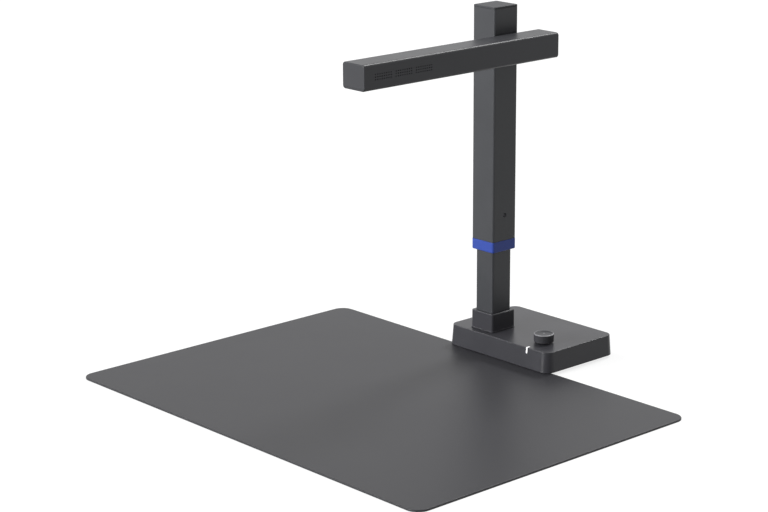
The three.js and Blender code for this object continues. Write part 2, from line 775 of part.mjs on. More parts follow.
function makeSockets(parent) {
  const front = baseRear - BASE_DRAFT - SOCKET_RECESS;
  const level = boardTop + SEAT_GAP;
  const small = socketShell(
    SMALL_SOCKET_WIDTH,
    SMALL_SOCKET_HEIGHT,
    SMALL_SOCKET_DEPTH,
    SMALL_SOCKET_CORNER,
    SMALL_SOCKET_TONGUE,
  );
  const smallY = front - SMALL_SOCKET_DEPTH;
  const smallZ = level + SMALL_SOCKET_HEIGHT / 2;
  piece("power_socket", small, brightSteel, parent, smallSocketX, smallY, smallZ);
  const large = socketShell(
    LARGE_SOCKET_WIDTH,
    LARGE_SOCKET_HEIGHT,
    LARGE_SOCKET_DEPTH,
    LARGE_SOCKET_CORNER,
    LARGE_SOCKET_TONGUE,
  );
  const largeY = front - LARGE_SOCKET_DEPTH;
  const largeZ = level + LARGE_SOCKET_HEIGHT / 2;
  piece("accessory_socket", large, brightSteel, parent, largeSocketX, largeY, largeZ);
}

// Dial: the encoder stands on the board, its rotor turns, and the shaft slides through the rotor.
function flattedRod(radius, height, flat) {
  const trimmed = boxTool(2 * radius, 2 * radius, height + 2 * TOOL_OVERRUN);
  return cut(solidOf(rod(radius, height, ROUND_SIDES)), trimmed.translate(0, radius + flat, -TOOL_OVERRUN));
}

function makeDial(parent) {
  const bodyBottom = boardTop + SEAT_GAP;
  const shaftBottom = boardTop + SEAT_GAP + DIAL_TRAVEL + SEAT_GAP;
  const rotorBottom = bodyBottom + SEAT_GAP + RUNNING_GAP;
  const rotorTop = rotorBottom + ROTOR_THICKNESS;
  const dialBottom = BASE_TOP + DIAL_LIFT;
  const dialTop = dialBottom + DIAL_HEIGHT;
  const hubBottom = dialBottom + BUSH_RISE;
  const shaftTop = hubBottom + SHAFT_INTO_DIAL;

  const can = block({
    width: ENCODER_SIZE,
    depth: ENCODER_SIZE,
    height: ENCODER_HEIGHT,
    corner: ENCODER_CORNER,
  });
  const bushTop = hubBottom - DIAL_TRAVEL - RUNNING_GAP;
  const bush = rod(BUSH_RADIUS, bushTop - bodyBottom, ROUND_SIDES);
  const bore = rod(SHAFT_RADIUS + THREAD_GAP, bushTop - bodyBottom + 2 * TOOL_OVERRUN, ROUND_SIDES);
  const rotorRoom = rod(
    ROTOR_RADIUS + RUNNING_GAP,
    rotorTop + RUNNING_GAP - bodyBottom + TOOL_OVERRUN,
    ROUND_SIDES,
  );
  const encoder = cut(
    join(solidOf(can), bush),
    bore.translate(0, 0, -TOOL_OVERRUN),
    rotorRoom.translate(0, 0, -TOOL_OVERRUN),
  );
  piece("dial_encoder", encoder, brightSteel, parent, 0, 0, bodyBottom);

  const rotorDisc = solidOf(rod(ROTOR_RADIUS, ROTOR_THICKNESS, ROUND_SIDES));
  const rotorBore = flattedRod(
    SHAFT_RADIUS + THREAD_GAP, ROTOR_THICKNESS + 2 * TOOL_OVERRUN, SHAFT_FLAT + THREAD_GAP,
  );
  const rotor = rotorDisc.subtract(solidOf(geometryOf(rotorBore).translate(0, 0, -TOOL_OVERRUN)));
  piece("encoder_rotor", rotor, glideNylon, parent, 0, 0, rotorBottom);

  const shaft = flattedRod(SHAFT_RADIUS, shaftTop - shaftBottom, SHAFT_FLAT);
  piece("dial_shaft", shaft, brightSteel, parent, 0, 0, shaftBottom);

  const crown = turned([
    [0, 0],
    [DIAL_RADIUS - DIAL_EDGE, 0],
    [DIAL_RADIUS, DIAL_EDGE],
    [DIAL_RADIUS, DIAL_HEIGHT - DIAL_EDGE],
    [DIAL_RADIUS - DIAL_EDGE, DIAL_HEIGHT],
    [DIAL_RADIUS - DIAL_RIM, DIAL_HEIGHT],
    [DIAL_RADIUS - DIAL_RIM - DIAL_DISH, DIAL_HEIGHT - DIAL_DISH],
    [0, DIAL_HEIGHT - DIAL_DISH],
  ], 2 * ROUND_SIDES);
  const skirtRoom = turned([
    [DIAL_HUB_RADIUS, -TOOL_OVERRUN],
    [DIAL_RADIUS - DIAL_WALL, -TOOL_OVERRUN],
    [DIAL_RADIUS - DIAL_WALL, DIAL_HEIGHT - 2 * DIAL_WALL],
    [DIAL_HUB_RADIUS, DIAL_HEIGHT - 2 * DIAL_WALL],
    [DIAL_HUB_RADIUS, -TOOL_OVERRUN],
  ]);
  const hubRoom = rod(DIAL_HUB_RADIUS + SEAT_GAP, BUSH_RISE + TOOL_OVERRUN, ROUND_SIDES);
  const shaftHole = flattedRod(
    SHAFT_RADIUS + THREAD_GAP, shaftTop + SEAT_GAP - dialBottom + TOOL_OVERRUN, SHAFT_FLAT + THREAD_GAP,
  );
  const cap = cut(solidOf(crown), skirtRoom, hubRoom.translate(0, 0, -TOOL_OVERRUN)).subtract(
    solidOf(geometryOf(shaftHole).translate(0, 0, -TOOL_OVERRUN)),
  );
  piece("dial_cap", cap, armPlastic, parent, 0, 0, dialBottom);
}

// Column
function tubeWall(width, depth, wall, corner, boreCorner, height) {
  const skin = block({ width, depth, height, corner });
  const bore = block({
    width: width - 2 * wall,
    depth: depth - 2 * wall,
    height: height + 2 * TOOL_OVERRUN,
    corner: boreCorner,
  });
  return cut(solidOf(skin), bore.translate(0, 0, -TOOL_OVERRUN));
}

function makeCollar(parent) {
  const width = OUTER_WIDTH + 2 * COLLAR_PROUD;
  const depth = OUTER_DEPTH + 2 * COLLAR_PROUD;
  const level = BASE_TOP + SEAT_GAP;
  const sleeve = block({
    width,
    depth,
    height: collarTop - level,
    corner: COLLAR_CORNER,
    topEdge: COLLAR_EDGE,
  });
  const lip = block({
    width: width + 2 * COLLAR_LIP,
    depth: depth + 2 * COLLAR_LIP,
    height: COLLAR_LIP_HEIGHT,
    corner: COLLAR_CORNER + COLLAR_LIP,
    topEdge: COLLAR_LIP_EDGE,
  });
  const neck = collarNeck(0, COLLAR_NECK_DROP + TOOL_OVERRUN).translate(0, 0, -COLLAR_NECK_DROP);
  const bore = block({
    width: innerWidth + 2 * SEAT_GAP,
    depth: innerDepth + 2 * SEAT_GAP,
    height: COLLAR_NECK_DROP + COLLAR_HEIGHT + 2 * TOOL_OVERRUN,
    corner: INNER_CORNER,
  }).translate(0, 0, -COLLAR_NECK_DROP - TOOL_OVERRUN);
  const body = cut(join(solidOf(sleeve), lip, neck), bore);
  piece("column_collar", body, shellPlastic, parent, 0, 0, level);
}

function makeInnerTube(parent) {
  const height = INNER_TOP - innerFoot;
  const dimple = alongX(rod(DETENT_RADIUS, DIMPLE_DEPTH + TOOL_OVERRUN));
  const pinLevel = PIN_RISE;
  const pinHole = alongX(rod(PIN_RADIUS + THREAD_GAP, innerWidth + 2 * TOOL_OVERRUN));
  const tube = cut(
    tubeWall(innerWidth, innerDepth, INNER_WALL, INNER_CORNER, INNER_CORNER / 2, height),
    dimple.translate(innerWidth / 2 - DIMPLE_DEPTH, 0, DETENT_LEVEL - innerFoot),
    pinHole.translate(-innerWidth / 2 - TOOL_OVERRUN, 0, pinLevel),
  );
  piece("inner_tube", tube, tubeMetal, parent, 0, 0, innerFoot);

  const footBlock = block({
    width: innerBoreWidth - 2 * SEAT_GAP,
    depth: innerBoreDepth - 2 * SEAT_GAP,
    height: BLOCK_HEIGHT,
    corner: INNER_CORNER / 2,
  });
  const crossHole = alongX(rod(PIN_RADIUS + THREAD_GAP, innerWidth));
  let body = cut(
    solidOf(footBlock),
    crossHole.translate(-innerWidth / 2, 0, pinLevel),
    rod(BLOCK_LEAD_HOLE, BLOCK_HEIGHT + 2 * TOOL_OVERRUN).translate(0, 0, -TOOL_OVERRUN),
  );
  [-1, 1].forEach((side) => {
    const thread = rod(BOLT_RADIUS + THREAD_GAP, BOLT_REACH + TOOL_OVERRUN);
    body = cut(body, thread.translate(0, side * BOLT_OFFSET, SEAT_GAP - TOOL_OVERRUN));
  });
  piece("tube_foot_block", body, brightSteel, parent, 0, 0, innerFoot);

  const pin = alongX(rod(PIN_RADIUS, innerWidth - 2 * SEAT_GAP));
  const pinX = SEAT_GAP - innerWidth / 2;
  piece("tube_cross_pin", pin, brightSteel, parent, pinX, 0, innerFoot + pinLevel);
}

function makeTopGlide(parent) {
  const flange = block({
    width: outerBoreWidth - 2 * RUNNING_GAP,
    depth: outerBoreDepth - 2 * RUNNING_GAP,
    height: GLIDE_HEIGHT,
    corner: GLIDE_CORNER,
    topEdge: GLIDE_CORNER / 2,
  }).translate(0, 0, SEAT_GAP);
  const plug = block({
    width: innerBoreWidth - 2 * SEAT_GAP,
    depth: innerBoreDepth - 2 * SEAT_GAP,
    height: GLIDE_PLUG + GLIDE_HEIGHT / 2,
    corner: INNER_CORNER / 2,
  }).translate(0, 0, -GLIDE_PLUG);
  const leadHole = rod(BLOCK_LEAD_HOLE, GLIDE_PLUG + GLIDE_HEIGHT + 2 * TOOL_OVERRUN);
  const body = cut(
    join(solidOf(flange), plug),
    leadHole.translate(0, 0, -GLIDE_PLUG - TOOL_OVERRUN),
  );
  piece("tube_top_glide", body, glideNylon, parent, 0, 0, INNER_TOP);
}

function makeOuterTube(parent) {
  const bottom = bandTop + SEAT_GAP;
  const height = capBottom - SEAT_GAP - bottom;
  const pivotHole = alongX(rod(PIVOT_RADIUS + RUNNING_GAP, OUTER_WALL + 2 * TOOL_OVERRUN, ROUND_SIDES));
  const detentHole = turned([
    [0, -TOOL_OVERRUN],
    [DETENT_RADIUS + THREAD_GAP, -TOOL_OVERRUN],
    [DETENT_RADIUS + THREAD_GAP, OUTER_WALL - DETENT_SINK],
    [DETENT_SINK_RADIUS, OUTER_WALL],
    [DETENT_SINK_RADIUS, OUTER_WALL + TOOL_OVERRUN],
    [0, OUTER_WALL + TOOL_OVERRUN],
  ], SMALL_SIDES);
  const wallX = OUTER_WIDTH / 2 - OUTER_WALL;
  const stopHole = alongX(rod(STOP_RADIUS + THREAD_GAP, OUTER_WALL + 2 * TOOL_OVERRUN));
  const stop = stopPlace();
  let tube = cut(
    tubeWall(OUTER_WIDTH, OUTER_DEPTH, OUTER_WALL, OUTER_CORNER, outerBoreCorner, height),
    pivotHole.translate(wallX - TOOL_OVERRUN, 0, PIVOT_LEVEL - bottom),
    alongX(detentHole).translate(wallX, 0, DETENT_LEVEL - bottom),
    stopHole.translate(wallX - TOOL_OVERRUN, stop.y, PIVOT_LEVEL + stop.z - bottom),
  );
  hingeScrewPlaces().forEach(({ y, z }) => {
    const hole = alongX(countersunkHole(OUTER_WALL).rotateX(Math.PI));
    tube = cut(tube, hole.translate(OUTER_WIDTH / 2, y, PIVOT_LEVEL + z - bottom));
  });
  piece("outer_tube", tube, tubeMetal, parent, 0, 0, bottom);
}

function makeBand(parent) {
  const ring = block({
    width: OUTER_WIDTH + 2 * BAND_PROUD,
    depth: OUTER_DEPTH + 2 * BAND_PROUD,
    height: BAND_HEIGHT,
    corner: OUTER_CORNER + BAND_PROUD,
    bottomEdge: BAND_EDGE,
  });
  const sleeve = block({
    width: outerBoreWidth - SEAT_GAP,
    depth: outerBoreDepth - SEAT_GAP,
    height: BAND_HEIGHT / 2 + BAND_SLEEVE,
    corner: outerBoreCorner,
  }).translate(0, 0, BAND_HEIGHT / 2);
  const bore = block({
    width: innerWidth + 2 * RUNNING_GAP,
    depth: innerDepth + 2 * RUNNING_GAP,
    height: BAND_HEIGHT + BAND_SLEEVE + 2 * TOOL_OVERRUN,
    corner: INNER_CORNER,
  }).translate(0, 0, -TOOL_OVERRUN);
  piece("slide_band", cut(join(solidOf(ring), sleeve), bore), bluePlastic, parent, 0, 0, bandBottom);
}

function makeCap(parent) {
  const lid = block({
    width: OUTER_WIDTH,
    depth: OUTER_DEPTH,
    height: CAP_THICKNESS,
    corner: OUTER_CORNER,
    topEdge: CAP_EDGE,
  });
  const plugWidth = outerBoreWidth - 2 * SEAT_GAP;
  const plugDepth = outerBoreDepth - 2 * SEAT_GAP;
  const plug = tubeWall(
    plugWidth, plugDepth, CAP_PLUG_WALL, outerBoreCorner, outerBoreCorner, CAP_PLUG + CAP_THICKNESS / 2,
  );
  const body = solidOf(lid).add(solidOf(geometryOf(plug).translate(0, 0, -CAP_PLUG)));
  piece("column_cap", body, shellPlastic, parent, 0, 0, capBottom);
}

function makeDetent(parent) {
  const reach = OUTER_WIDTH / 2 - DETENT_RECESS - (innerWidth / 2 + RUNNING_GAP);
  const body = turned([
    [0, 0],
    [DETENT_RADIUS / 2, 0],
    [DETENT_RADIUS, DETENT_RADIUS / 2],
    [DETENT_RADIUS, reach],
    [0, reach],
  ], SMALL_SIDES);
  const slot = boxTool(2 * DETENT_RADIUS + TOOL_OVERRUN, DETENT_SLOT, DETENT_SLOT + TOOL_OVERRUN);
  const plug = cut(solidOf(body), slot.translate(0, 0, reach - DETENT_SLOT));
  const x = innerWidth / 2 + RUNNING_GAP;
  piece("height_detent", alongX(geometryOf(plug)), blackSteel, parent, x, 0, DETENT_LEVEL);
}

// Hinge: a block in the outer tube carries the hollow pivot, which is screwed to the arm.
function stopPlace() {
  const angle = THREE.MathUtils.degToRad(STOP_ANGLE);
  return { y: STOP_CIRCLE * Math.cos(angle), z: STOP_CIRCLE * Math.sin(angle) };
}

function hingeScrewPlaces() {
  return [{ y: 0, z: HINGE_SCREW_OFFSET }, { y: 0, z: -HINGE_SCREW_OFFSET }];
}

const hingeBlockWidth = outerBoreWidth - 2 * SEAT_GAP;

function makeHingeBlock(parent) {
  const body = block({
    width: hingeBlockWidth,
    depth: outerBoreDepth - 2 * SEAT_GAP,
    height: HINGE_BLOCK_HEIGHT,
    corner: outerBoreCorner,
  });
  const right = hingeBlockWidth / 2;
  const middle = HINGE_BLOCK_HEIGHT / 2;
  const pivotBore = alongX(rod(PIVOT_RADIUS + THREAD_GAP, hingeBlockWidth + 2 * TOOL_OVERRUN, ROUND_SIDES));
  const pocketDepth = hingeBlockWidth - HINGE_WEB + TOOL_OVERRUN;
  const nutPocket = alongX(rod(NUT_POCKET_RADIUS, pocketDepth, ROUND_SIDES));
  const stop = stopPlace();
  const stopHole = alongX(rod(STOP_RADIUS + THREAD_GAP, HINGE_WEB));
  const leadSlot = boxTool(2 * BLOCK_LEAD_HOLE, 2 * BLOCK_LEAD_HOLE, middle);
  let shaped = cut(
    solidOf(body),
    pivotBore.translate(-right - TOOL_OVERRUN, 0, middle),
    nutPocket.translate(-right - TOOL_OVERRUN, 0, middle),
    stopHole.translate(right - HINGE_WEB / 2, stop.y, middle + stop.z),
    leadSlot.translate(BLOCK_LEAD_HOLE - right, 0, -TOOL_OVERRUN),
  );
  hingeScrewPlaces().forEach(({ y, z }) => {
    const pilot = alongX(rod(SCREW_RADIUS + THREAD_GAP, HINGE_SCREW_LENGTH));
    shaped = cut(shaped, pilot.translate(right - HINGE_SCREW_LENGTH + TOOL_OVERRUN, y, middle + z));
  });
  piece("hinge_block", shaped, blackSteel, parent, 0, 0, hingeBottom);

  const pinLength = OUTER_WALL + HINGE_WEB / 2 + STOP_REACH;
  const pin = alongX(rod(STOP_RADIUS, pinLength));
  const pinX = OUTER_WIDTH / 2 + STOP_REACH - pinLength;
  piece("hinge_stop_pin", pin, brightSteel, parent, pinX, stop.y, PIVOT_LEVEL + stop.z);

  hingeScrewPlaces().forEach(({ y, z }, index) => {
    const screw = geometryOf(countersunkScrew(HINGE_SCREW_LENGTH - TOOL_OVERRUN));
    const x = OUTER_WIDTH / 2 - SCREW_SINK;
    const name = index === 0 ? "hinge_screw_upper" : "hinge_screw_lower";
    piece(name, alongX(screw.rotateX(Math.PI)), brightSteel, parent, x, y, PIVOT_LEVEL + z);
  });
}

// Arm pieces are placed from the pivot axis where it leaves the column's right side.
function makePivot(parent) {
  const webLeft = OUTER_WIDTH / 2 - hingeBlockWidth / 2 + HINGE_WEB;
  const flangeX = ARM_GAP + ARM_WALL + ARM_PIVOT_PAD + SEAT_GAP;
  const springX = -webLeft - SEAT_GAP - SPRING_HEIGHT;
  const nutX = springX - SEAT_GAP - NUT_THICKNESS;
  const shaftLength = flangeX - nutX;
  const shaft = turned([
    [PIVOT_BORE, 0],
    [PIVOT_RADIUS, 0],
    [PIVOT_RADIUS, shaftLength],
    [FLANGE_RADIUS, shaftLength],
    [FLANGE_RADIUS, shaftLength + FLANGE_THICKNESS],
    [PIVOT_BORE, shaftLength + FLANGE_THICKNESS],
    [PIVOT_BORE, 0],
  ]);
  let pivot = solidOf(shaft);
  flangeScrewPlaces().forEach(({ y, z }) => {
    const hole = rod(FLANGE_SCREW_RADIUS + SEAT_GAP, FLANGE_THICKNESS + 2 * TOOL_OVERRUN);
    pivot = cut(pivot, hole.translate(-z, y, shaftLength - TOOL_OVERRUN));
  });
  piece("pivot_shaft", alongX(geometryOf(pivot)), brightSteel, parent, nutX, 0, 0);

  const washer = turned([
    [PIVOT_RADIUS + SEAT_GAP, 0],
    [WASHER_RADIUS, 0],
    [WASHER_RADIUS, ARM_GAP - 2 * WASHER_GAP],
    [PIVOT_RADIUS + SEAT_GAP, ARM_GAP - 2 * WASHER_GAP],
    [PIVOT_RADIUS + SEAT_GAP, 0],
  ]);
  piece("friction_washer", alongX(washer), glideNylon, parent, WASHER_GAP, 0, 0);

  const bore = PIVOT_RADIUS + SEAT_GAP;
  const rise = SPRING_HEIGHT - SPRING_PLATE;
  const cup = turned([
    [bore, 0],
    [bore + SPRING_PLATE, 0],
    [SPRING_RADIUS, rise],
    [SPRING_RADIUS, SPRING_HEIGHT],
    [SPRING_RADIUS - SPRING_PLATE / 2, SPRING_HEIGHT],
    [bore, SPRING_PLATE],
    [bore, 0],
  ]);
  piece("disc_spring", alongX(cup), brightSteel, parent, springX, 0, 0);

  const hex = rod(NUT_ACROSS_CORNERS / 2, NUT_THICKNESS, 6);
  const nutBore = rod(PIVOT_RADIUS + THREAD_GAP, NUT_THICKNESS + 2 * TOOL_OVERRUN, ROUND_SIDES);
  const nut = cut(solidOf(hex), nutBore.translate(0, 0, -TOOL_OVERRUN));
  piece("pivot_nut", alongX(geometryOf(nut)), brightSteel, parent, nutX, 0, 0);

  flangeScrewPlaces().forEach(({ y, z }, index) => {
    const screw = cappedScrew(
      FLANGE_SCREW_RADIUS,
      FLANGE_THICKNESS + 2 * SEAT_GAP + FLANGE_SCREW_REACH,
      FLANGE_SCREW_HEAD_RADIUS,
      FLANGE_SCREW_HEAD_HEIGHT,
      SCREW_SOCKET_RADIUS,
      SCREW_SOCKET_DEPTH / 2,
    );
    const shape = alongX(geometryOf(screw).rotateX(Math.PI));
    const x = flangeX + FLANGE_THICKNESS + SEAT_GAP;
    piece(`flange_screw_${index + 1}`, shape, brightSteel, parent, x, y, z);
  });
}

function flangeScrewPlaces() {
  return [{ y: FLANGE_SCREW_CIRCLE, z: 0 }, { y: -FLANGE_SCREW_CIRCLE, z: 0 }];
}

// The whole arm as one bar with round long edges, which the shell and the cover share.
function armBar() {
  const bar = block({
    width: ARM_WIDTH,
    depth: ARM_HEIGHT,
    height: armLength,
    corner: ARM_ROUND,
    topEdge: ARM_END_EDGE,
    bottomEdge: ARM_END_EDGE,
  });
  return alongY(bar).translate(armCentreX, -ARM_REACH, 0);
}

function armPostPlaces() {
  const x = ARM_WIDTH / 2 - ARM_POST_INSET_X;
  const front = ARM_POST_INSET_Y - ARM_REACH;
  return [
    { place: "front_left", x: armCentreX - x, y: front },
    { place: "front_right", x: armCentreX + x, y: front },
    { place: "rear", x: armCentreX, y: ARM_TAIL - ARM_POST_INSET_Y },
  ];
}

// The pin of the hinge runs in this slot, which ends the fold.
function stopSlot() {
  const half = STOP_RADIUS + RUNNING_GAP;
  const endAngle = Math.asin(half / STOP_CIRCLE);
  const start = THREE.MathUtils.degToRad(STOP_ANGLE - FOLD_ANGLE) - endAngle;
  const end = THREE.MathUtils.degToRad(STOP_ANGLE) + endAngle;
  const arc = new THREE.Shape();
  arc.absarc(0, 0, STOP_CIRCLE + half, start, end, false);
  arc.absarc(0, 0, STOP_CIRCLE - half, end, start, true);
  arc.closePath();
  const tool = new THREE.ExtrudeGeometry(arc, {
    depth: STOP_REACH - ARM_GAP + RUNNING_GAP + TOOL_OVERRUN,
    bevelEnabled: false,
    curveSegments: ARC_STEPS,
  });
  // The shape is drawn in Y and Z, so it turns from the X-Y plane to face +X.
  return tool
    .applyMatrix4(new THREE.Matrix4().set(0, 0, 1, 0, 1, 0, 0, 0, 0, 1, 0, 0, 0, 0, 0, 1))
    .translate(ARM_GAP - TOOL_OVERRUN, 0, 0);
}

function ventHoles() {
  const holes = [];
  const start = VENT_FROM_TIP - ARM_REACH;
  for (let group = 0; group < VENT_GROUPS; group += 1) {
    for (let column = 0; column < VENT_COLUMNS; column += 1) {
      for (let row = 0; row < VENT_ROWS; row += 1) {
        const hole = alongX(rod(VENT_RADIUS, ARM_WALL + 2 * TOOL_OVERRUN, VENT_SIDES));
        holes.push(hole.translate(
          ARM_GAP + ARM_WIDTH - ARM_WALL - TOOL_OVERRUN,
          start + group * VENT_GROUP_STEP + column * VENT_PITCH,
          (row - (VENT_ROWS - 1) / 2) * VENT_ROW_PITCH,
        ));
      }
    }
  }
  return holes;
}

function makeArmShell(parent) {
  const seam = coverTop + COVER_SEAM;
  const below = boxTool(
    ARM_WIDTH + 2 * TOOL_OVERRUN, armLength + 2 * TOOL_OVERRUN, COVER_THICKNESS + COVER_SEAM + TOOL_OVERRUN,
  ).translate(armCentreX, armMiddle, armBottom - TOOL_OVERRUN);
  const cavity = block({
    width: ARM_WIDTH - 2 * ARM_WALL,
    depth: armLength - 2 * ARM_WALL,
    height: armCeiling - armBottom + TOOL_OVERRUN,
    corner: ARM_INNER_CORNER,
  }).translate(armCentreX, armMiddle, armBottom - TOOL_OVERRUN);
  let body = cut(solidOf(armBar()), below, cavity);
  const pad = alongX(rod(ARM_PIVOT_PAD_RADIUS, ARM_WALL / 2 + ARM_PIVOT_PAD, ROUND_SIDES));
  const padTrim = boxTool(ARM_WIDTH, ARM_WIDTH, ARM_HEIGHT).translate(
    armCentreX, 0, seam + COVER_LIP_HEIGHT + SEAT_GAP - ARM_HEIGHT,
  );
  const padSolid = cut(solidOf(pad.translate(ARM_GAP + ARM_WALL / 2, 0, 0)), padTrim);
  body = body.add(padSolid);
  armPostPlaces().forEach(({ x, y }) => {
    const postBottom = coverTop + SEAT_GAP;
    const post = rod(ARM_POST_RADIUS, armCeiling + ARM_WALL / 2 - postBottom);
    const pilot = rod(SCREW_RADIUS + THREAD_GAP, PILOT_DEPTH);
    body = join(body, post.translate(x, y, postBottom));
    body = cut(body, pilot.translate(x, y, postBottom - TOOL_OVERRUN));
  });
  cameraPostPlaces().forEach(({ x, y }) => {
    const foot = cameraBoardTop + SEAT_GAP;
    body = join(body, rod(CAMERA_POST_RADIUS, armCeiling + ARM_WALL / 2 - foot).translate(x, y, foot));
  });
  armBoardPostPlaces().forEach(({ x, y }) => {
    const foot = armBoardTop + SEAT_GAP;
    body = join(body, rod(CAMERA_POST_RADIUS, armCeiling + ARM_WALL / 2 - foot).translate(x, y, foot));
  });
  const pivotLength = ARM_WALL + ARM_PIVOT_PAD + 2 * TOOL_OVERRUN;
  const pivotHole = alongX(rod(PIVOT_RADIUS + SEAT_GAP, pivotLength, ROUND_SIDES));
  body = cut(body, pivotHole.translate(ARM_GAP - TOOL_OVERRUN, 0, 0), stopSlot(), ...ventHoles());
  flangeScrewPlaces().forEach(({ y, z }) => {
    const pilot = alongX(rod(FLANGE_SCREW_RADIUS + THREAD_GAP, FLANGE_SCREW_REACH + TOOL_OVERRUN));
    const x = ARM_GAP + ARM_WALL + ARM_PIVOT_PAD - FLANGE_SCREW_REACH;
    body = cut(body, pilot.translate(x, y, z));
  });
  piece("arm_shell", body, armPlastic, parent);
}

// Underside of the arm: a cover with a lip, the camera window and two lamp windows.
function lampPlaces() {
  const first = lensY + LAMP_FROM_LENS + LAMP_LENGTH / 2;
  return [
    { name: "front", y: first },
    { name: "rear", y: first + LAMP_LENGTH + LAMP_SPACING },
  ];
}

function makeArmCover(parent) {
  const above = boxTool(ARM_WIDTH + 2 * TOOL_OVERRUN, armLength + 2 * TOOL_OVERRUN, ARM_HEIGHT).translate(
    armCentreX, armMiddle, coverTop,
  );
  const lipWidth = ARM_WIDTH - 2 * (ARM_WALL + SEAT_GAP);
  const lipLength = armLength - 2 * (ARM_WALL + SEAT_GAP);
  const lip = tubeWall(
    lipWidth,
    lipLength,
    COVER_LIP_WALL,
    ARM_INNER_CORNER,
    ARM_INNER_CORNER / 2,
    COVER_LIP_HEIGHT + COVER_THICKNESS / 2,
  );
  const lipGeometry = geometryOf(lip).translate(armCentreX, armMiddle, coverTop - COVER_THICKNESS / 2);
  let body = join(cut(solidOf(armBar()), above), lipGeometry);
  armPostPlaces().forEach(({ x, y }) => {
    const room = rod(ARM_POST_RADIUS + SEAT_GAP, COVER_LIP_HEIGHT + TOOL_OVERRUN);
    const hole = countersunkHole(COVER_THICKNESS);
    body = cut(body, room.translate(x, y, coverTop), hole.translate(x, y, armBottom));
  });
  lampPlaces().forEach(({ y }) => {
    const ribHeight = LAMP_BOARD_LEVEL - SEAT_GAP + COVER_THICKNESS / 2;
    const ribs = tubeWall(
      LAMP_WIDTH + 2 * (LAMP_FLANGE + SEAT_GAP + LAMP_RIB_WALL),
      LAMP_LENGTH + 2 * (LAMP_FLANGE + SEAT_GAP + LAMP_RIB_WALL),
      LAMP_RIB_WALL,
      LAMP_CORNER,
      LAMP_CORNER,
      ribHeight,
    );
    const window = block({
      width: LAMP_WIDTH + 2 * SEAT_GAP,
      depth: LAMP_LENGTH + 2 * SEAT_GAP,
      height: COVER_THICKNESS + 2 * TOOL_OVERRUN,
      corner: LAMP_CORNER,
    }).translate(armCentreX, y, armBottom - TOOL_OVERRUN);
    body = join(body, geometryOf(ribs).translate(armCentreX, y, coverTop - COVER_THICKNESS / 2));
    body = cut(body, window);
  });
  const ledge = armBottom + WINDOW_RECESS + WINDOW_THICKNESS + SEAT_GAP;
  const windowRoom = rod(WINDOW_RADIUS + SEAT_GAP, ledge - armBottom + TOOL_OVERRUN, ROUND_SIDES);
  const sight = rod(WINDOW_RADIUS - WINDOW_LEDGE, COVER_THICKNESS + 2 * TOOL_OVERRUN, ROUND_SIDES);
  body = cut(
    body,
    windowRoom.translate(armCentreX, lensY, armBottom - TOOL_OVERRUN),
    sight.translate(armCentreX, lensY, armBottom - TOOL_OVERRUN),
  );
  piece("arm_cover", body, armPlastic, parent);

  armPostPlaces().forEach(({ place, x, y }) => {
    const screw = countersunkScrew(ARM_SCREW_LENGTH);
    piece(`arm_screw_${place}`, screw, blackSteel, parent, x, y, armBottom + SCREW_SINK);
  });
}

// Camera: a window in the cover, the barrel above it, and the holder on its board.
const cameraBoardTop = armCeiling - CAMERA_BOARD_THICKNESS * 2;
const cameraBoardBottom = cameraBoardTop - CAMERA_BOARD_THICKNESS;

function cameraPostPlaces() {
  const reach = CAMERA_BOARD_SIZE / 2 - CAMERA_POST_RADIUS;
  return [-1, 1].map((side) => ({ x: armCentreX + side * reach, y: lensY + side * reach }));
}

